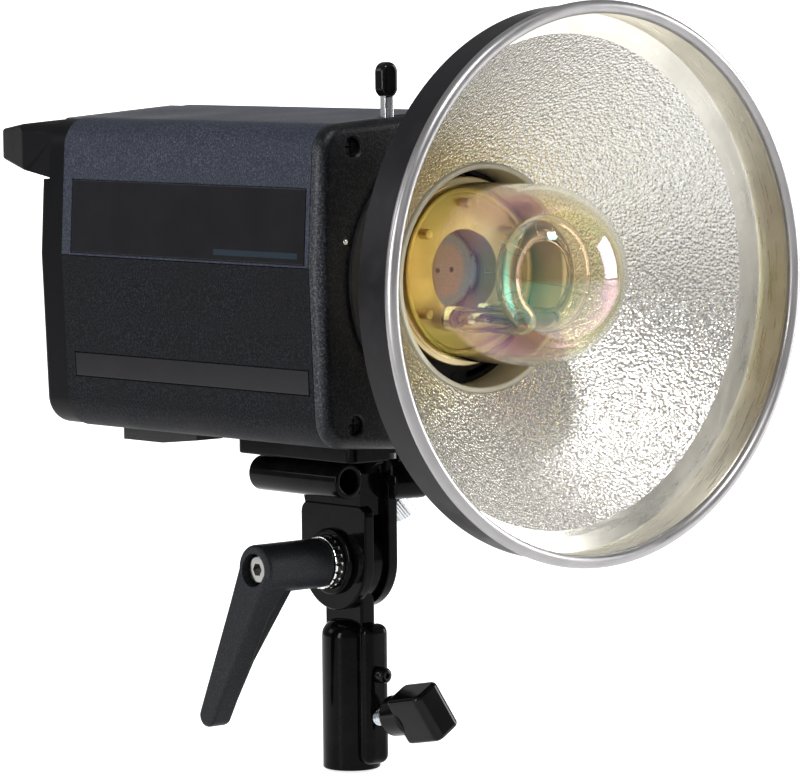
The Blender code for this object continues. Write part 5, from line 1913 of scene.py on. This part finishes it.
# ---- stand receptor ------------------------------------------------------------------
@dataclass
class Receptor:
    """Socket for the stand's stud, with the tongue that the yoke clamps, and its screws."""

    bore: float = 0.00815
    depth: float = 0.0405
    radius: float = 0.0103
    top: float = 0.0132
    rib_front: float = 0.0156
    rib_half: float = 0.0056
    tongue_half: float = 0.0032
    tongue_radius: float = 0.0155
    neck_half: float = 0.0100
    stud: float = 0.0040
    screw_height: float = -0.0236
    screw_lean: float = math.radians(10.0)
    screw_radius: float = 0.0030
    set_screw_height: float = -0.0057
    knob_back: float = 0.0300
    knob_front: float = 0.0478
    knob_turn: float = math.radians(28.0)

    @property
    def screw_turn(self) -> Matrix:
        """Turns an upright screw to the stand screw's slanted axis."""
        return Matrix.Rotation(math.radians(90.0) - self.screw_lean, 3, "X")

    @property
    def screw_centre(self) -> Vector:
        """Where the stand screw's axis meets the stand's."""
        return Vector((0.0, 0.0, self.screw_height))

    def along_screw(self, bm: BMesh) -> BMesh:
        """Lays an upright solid along the stand screw's axis."""
        return moved(bm, self.screw_centre, self.screw_turn)

    def casting(self, finishes: Finishes) -> Object:
        """Builds the socket, rib, neck and tongue.

        Args:
            finishes: The shared finishes.

        Returns:
            The piece.
        """
        bottom = -self.depth
        profile = rounded([(0.0, self.top), (self.radius, self.top), (self.radius, bottom),
                           (self.bore, bottom), (self.bore, 0.0), (0.0, 0.0)],
                          [0.0, 0.0062, 0.0009, 0.0006, 0.0, 0.0], 10)
        body = spun(profile, 96, (0, 0, 0), Axis.Z)
        rib = block((-self.rib_half, -self.rib_front, bottom + 0.0025),
                    (self.rib_half, -self.bore - 0.0004, self.top - 0.001), 0.0034, 5)
        neck = block((-self.tongue_half, -self.neck_half, 0.004),
                     (self.tongue_half, self.neck_half, PIVOT.z), 0.0009, 3, Axis.Z)
        tongue = rod(PIVOT - Vector((self.tongue_half, 0, 0)), PIVOT + Vector((self.tongue_half, 0, 0)),
                     self.tongue_radius, sides=96, bevel=0.0006, segments=3)
        reach = Vector((0.02, 0, 0))
        screw_hole = rod((0, 0, 0.004), (0, 0, 0.03), self.screw_radius + GAP, sides=40)
        z = self.set_screw_height
        steps = [(Join.ADD, rib), (Join.ADD, neck), (Join.ADD, tongue),
                 (Join.CUT, rod(PIVOT - reach, PIVOT + reach, self.stud + GAP, sides=64)),
                 (Join.CUT, self.along_screw(screw_hole)),
                 (Join.CUT, rod((0, -0.004, z), (0, -0.03, z), 0.0023, sides=32))]
        return piece("receptor_casting", carved(body, *steps), [finishes.enamel], "stand", ["stand_receptor"],
                     38.0)

    def set_screw(self, finishes: Finishes) -> Object:
        """Builds the small round-headed screw above the stand screw.

        Args:
            finishes: The shared finishes.

        Returns:
            The piece.
        """
        front, z = -self.rib_front - GAP, self.set_screw_height
        head = spun(rounded([(0.0, front), (0.0029, front), (0.0029, front - 0.0039), (0.0, front - 0.0039)],
                            [0.0, 0.0003, 0.0016, 0.0], 6), 48, (0, 0, z))
        steps = [(Join.ADD, rod((0, -0.0092, z), (0, front - 0.0005, z), 0.0020, sides=32)),
                 (Join.CUT, rod((0, front - 0.0030, z), (0, front - 0.006, z), 0.0011, sides=6))]
        return piece("set_screw_fine", carved(head, *steps), [finishes.knob], "stand", ["receptor_set_screw"])

    def thread(self, low: float, high: float, radius: float, pitch: float = 0.00095) -> list[Pair]:
        """Profile of a bar with thread-like grooves, from low to high.

        Args:
            low: Start of the bar.
            high: End of the bar.
            radius: Radius over the crests.
            pitch: Distance between crests.

        Returns:
            Pairs of radius and height.
        """
        count = int((high - low) / pitch)
        profile: list[Pair] = [(0.0, low), (radius - 0.0004, low)]
        for k in range(count):
            base = low + pitch * k
            profile += [(radius - 0.0004, base + pitch * 0.1), (radius, base + pitch * 0.45),
                        (radius, base + pitch * 0.6), (radius - 0.0004, base + pitch * 0.95)]
        return profile + [(radius - 0.0004, high), (0.0, high)]

    def stand_screw(self, finishes: Finishes) -> Object:
        """Builds the stand screw's threaded bar.

        Args:
            finishes: The shared finishes.

        Returns:
            The piece.
        """
        bm = spun(self.thread(self.bore + 0.0010, 0.0360, self.screw_radius), 40, (0, 0, 0), Axis.Z)
        return piece("stand_screw_fine", self.along_screw(bm), [finishes.zinc_steel], "stand_screw",
                     ["stand_clamp_screw"], 25.0, weighted=False)

    def knob(self, finishes: Finishes) -> Object:
        """Builds the T-shaped knob with its round collar.

        Args:
            finishes: The shared finishes.

        Returns:
            The piece.
        """
        back, front = self.knob_back, self.knob_front
        grip = slab(rounded([(-0.0062, back), (0.0062, back), (0.0062, front), (-0.0062, front)],
                            [0.0022, 0.0022, 0.0030, 0.0030], 4), -0.0092, 0.0092, Axis.Y, 0.0016, 0.0016, 3)
        grip = moved(grip, Vector((0, 0, 0)), Matrix.Rotation(self.knob_turn, 3, "Z"))
        collar = rod((0, 0, back - 0.0068), (0, 0, back + 0.003), 0.0074, sides=64, bevel=0.0012, segments=4)
        shaft = rod((0, 0, 0), (0, 0, back + 0.0063), self.screw_radius + GAP, sides=40)
        bm = carved(collar, (Join.ADD, grip), (Join.CUT, shaft))
        return piece("t_knob_fine", self.along_screw(bm), [finishes.knob], "stand_screw",
                     ["stand_clamp_knob"])

    def make(self, finishes: Finishes) -> None:
        """Builds every piece.

        Args:
            finishes: The shared finishes.
        """
        self.casting(finishes)
        self.set_screw(finishes)
        self.stand_screw(finishes)
        self.knob(finishes)
        dress(finishes.steel, "stand_screw_pad")


# ---- rear panel and insides ----------------------------------------------------------
@dataclass
class RearPanel:
    """Control panel at the back, with raised scale marks beside its two sliders."""

    face: float = 0.2314
    slider_columns: Pair = (-0.0300, -0.0160)
    marks_count: int = 9
    lowest_mark: float = -0.0060
    mark_step: float = 0.0030
    mark_offset: float = 0.0046

    def marks(self, finishes: Finishes) -> Object:
        """Builds the plain scale marks.

        Args:
            finishes: The shared finishes.

        Returns:
            The piece.
        """
        parts: list[BMesh] = []
        for x in self.slider_columns:
            left = x + self.mark_offset
            for k in range(self.marks_count):
                z = self.lowest_mark + self.mark_step * k
                wide = 0.0016 if k % 4 == 0 else 0.0010
                parts.append(block((left, self.face - 0.0001, z - 0.0002),
                                   (left + wide, self.face + 0.0001, z + 0.0002), 0.00005, 1))
        return piece("scale_marks", moved(merged(*parts)), [finishes.pale_key], "head",
                     weighted=False)

    def make(self, finishes: Finishes) -> None:
        """Builds the marks and dresses the controls.

        Args:
            finishes: The shared finishes.
        """
        self.marks(finishes)
        dress(finishes.strip, "rear_panel")
        dress(finishes.pale_key, "power_slider", "model_slider", "test_button")
        dress(finishes.red_key, "power_switch")
        dress(finishes.knob, "model_switch", "fuse_cap", "mains_inlet")
        dress(finishes.green_lens, "ready_lamp")
        dress(finishes.dark_lens, "photocell")
        dress(finishes.bright, "sync_jack")


@dataclass
class Insides:
    """What the housing hides."""

    def make(self, finishes: Finishes) -> None:
        """Dresses the chassis, the capacitors, the board and the fan.

        Args:
            finishes: The shared finishes.
        """
        dress(finishes.zinc, "chassis")
        dress(finishes.sleeve, "capacitor_left", "capacitor_right")
        dress(finishes.board, "circuit_board")
        dress(finishes.cover, "fan_frame", "fan_rotor")


# ---- studio --------------------------------------------------------------------------
@dataclass
class Studio:
    """Pale floor, soft lights and the camera."""

    floor_height: float = -0.0412
    floor_reach: float = 12.0
    wall_back: float = 5.0
    wall_height: float = 1.6
    sky: float = 0.36
    camera_place: Triple = (-1.13625, -1.31517, 0.24326)
    forward: Triple = (0.65831, 0.74807, -0.08385)
    roll: float = -0.010894
    lens: float = 220.86
    shift: Pair = (0.0099, -0.0065)
    aim: Triple = (0.0, -0.02, 0.12)

    def floor(self) -> Object:
        """Lays the pale floor and turns it up into a wall behind the object.

        Returns:
            The floor.
        """
        bm = bmesh.new()
        bmesh.ops.create_grid(bm, x_segments=2, y_segments=2, size=self.floor_reach)
        away = Vector((self.forward[0], self.forward[1], 0.0)).normalized()
        cut = bmesh.ops.bisect_plane(bm, geom=bm.verts[:] + bm.edges[:] + bm.faces[:],
                                     plane_co=away * self.wall_back, plane_no=away,
                                     clear_outer=True)["geom_cut"]
        edges = [e for e in cut if isinstance(e, bmesh.types.BMEdge)]
        raised = bmesh.ops.extrude_edge_only(bm, edges=edges)["geom"]
        top = [v for v in raised if isinstance(v, bmesh.types.BMVert)]
        bmesh.ops.translate(bm, vec=(0, 0, self.wall_height), verts=top)
        bmesh.ops.translate(bm, vec=(0, 0, self.floor_height), verts=bm.verts)
        mesh = bpy.data.meshes.new("floor")
        bm.to_mesh(mesh)
        bm.free()
        mesh.materials.append(PaleFloor().make())
        made = bpy.data.objects.new("floor", mesh)
        bpy.context.scene.collection.objects.link(made)
        return made

    def world(self) -> None:
        """Sets the soft white surroundings."""
        world = bpy.data.worlds.new("studio")
        world.use_nodes = True
        back = world.node_tree.nodes["Background"]
        back.inputs["Color"].default_value = (1.0, 1.0, 1.0, 1.0)
        back.inputs["Strength"].default_value = self.sky
        bpy.context.scene.world = world
        bpy.context.scene.view_settings.view_transform = "Standard"

    def softbox(self, name: str, place: Triple, size: Pair, power: float) -> Object:
        """Hangs one soft light.

        Args:
            name: The light's name.
            place: Where it hangs.
            size: Width and height.
            power: Watts.

        Returns:
            The light.
        """
        data = bpy.data.lights.new(name, "AREA")
        data.shape = "RECTANGLE"
        data.size, data.size_y = size
        data.energy = power
        light = bpy.data.objects.new(name, data)
        light.location = place
        light.rotation_euler = (Vector(self.aim) - Vector(place)).to_track_quat("-Z", "Y").to_euler()
        bpy.context.scene.collection.objects.link(light)
        return light

    def camera(self) -> Object:
        """Sets up the camera.

        Returns:
            The camera.
        """
        data = bpy.data.cameras.new("camera")
        data.sensor_width = 36.0
        data.lens = self.lens
        data.shift_x, data.shift_y = self.shift
        data.clip_start, data.clip_end = 0.1, 30.0
        camera = bpy.data.objects.new("camera", data)
        ahead = Vector(self.forward).normalized()
        right = ahead.cross(Vector((0, 0, 1))).normalized()
        up = right.cross(ahead)
        turned_right = right * math.cos(self.roll) + up * math.sin(self.roll)
        turned_up = up * math.cos(self.roll) - right * math.sin(self.roll)
        turn = Matrix((turned_right, turned_up, -ahead)).transposed()
        camera.matrix_world = Matrix.Translation(Vector(self.camera_place)) @ turn.to_4x4()
        bpy.context.scene.collection.objects.link(camera)
        bpy.context.scene.camera = camera
        return camera

    def make(self) -> None:
        """Builds the stage."""
        self.floor()
        self.world()
        self.softbox("key_light", (-0.28, -1.25, 1.70), (0.30, 0.30), 21.0)
        self.softbox("fill_light", (1.75, -0.85, 0.50), (0.8, 1.0), 23.0)
        self.softbox("edge_light", (-1.7, -0.1, 0.35), (0.30, 0.9), 16.0)
        self.softbox("sheen_light", (-1.15, 1.2, 0.75), (0.6, 0.5), 3.0)
        self.camera()


def main() -> None:
    """Builds the studio and every piece, in order."""
    logging.basicConfig(level=logging.INFO, format="%(name)s: %(message)s")
    finishes = Finishes()
    Studio().make()
    for assembly in (Reflector(), Lamp(), Housing(), ReflectorLock(), TiltClamp(), UmbrellaHolder(),
                     Receptor(), RearPanel(), Insides()):
        LOG.info("building %s", type(assembly).__name__)
        assembly.make(finishes)


if __name__ == "__main__":
    main()
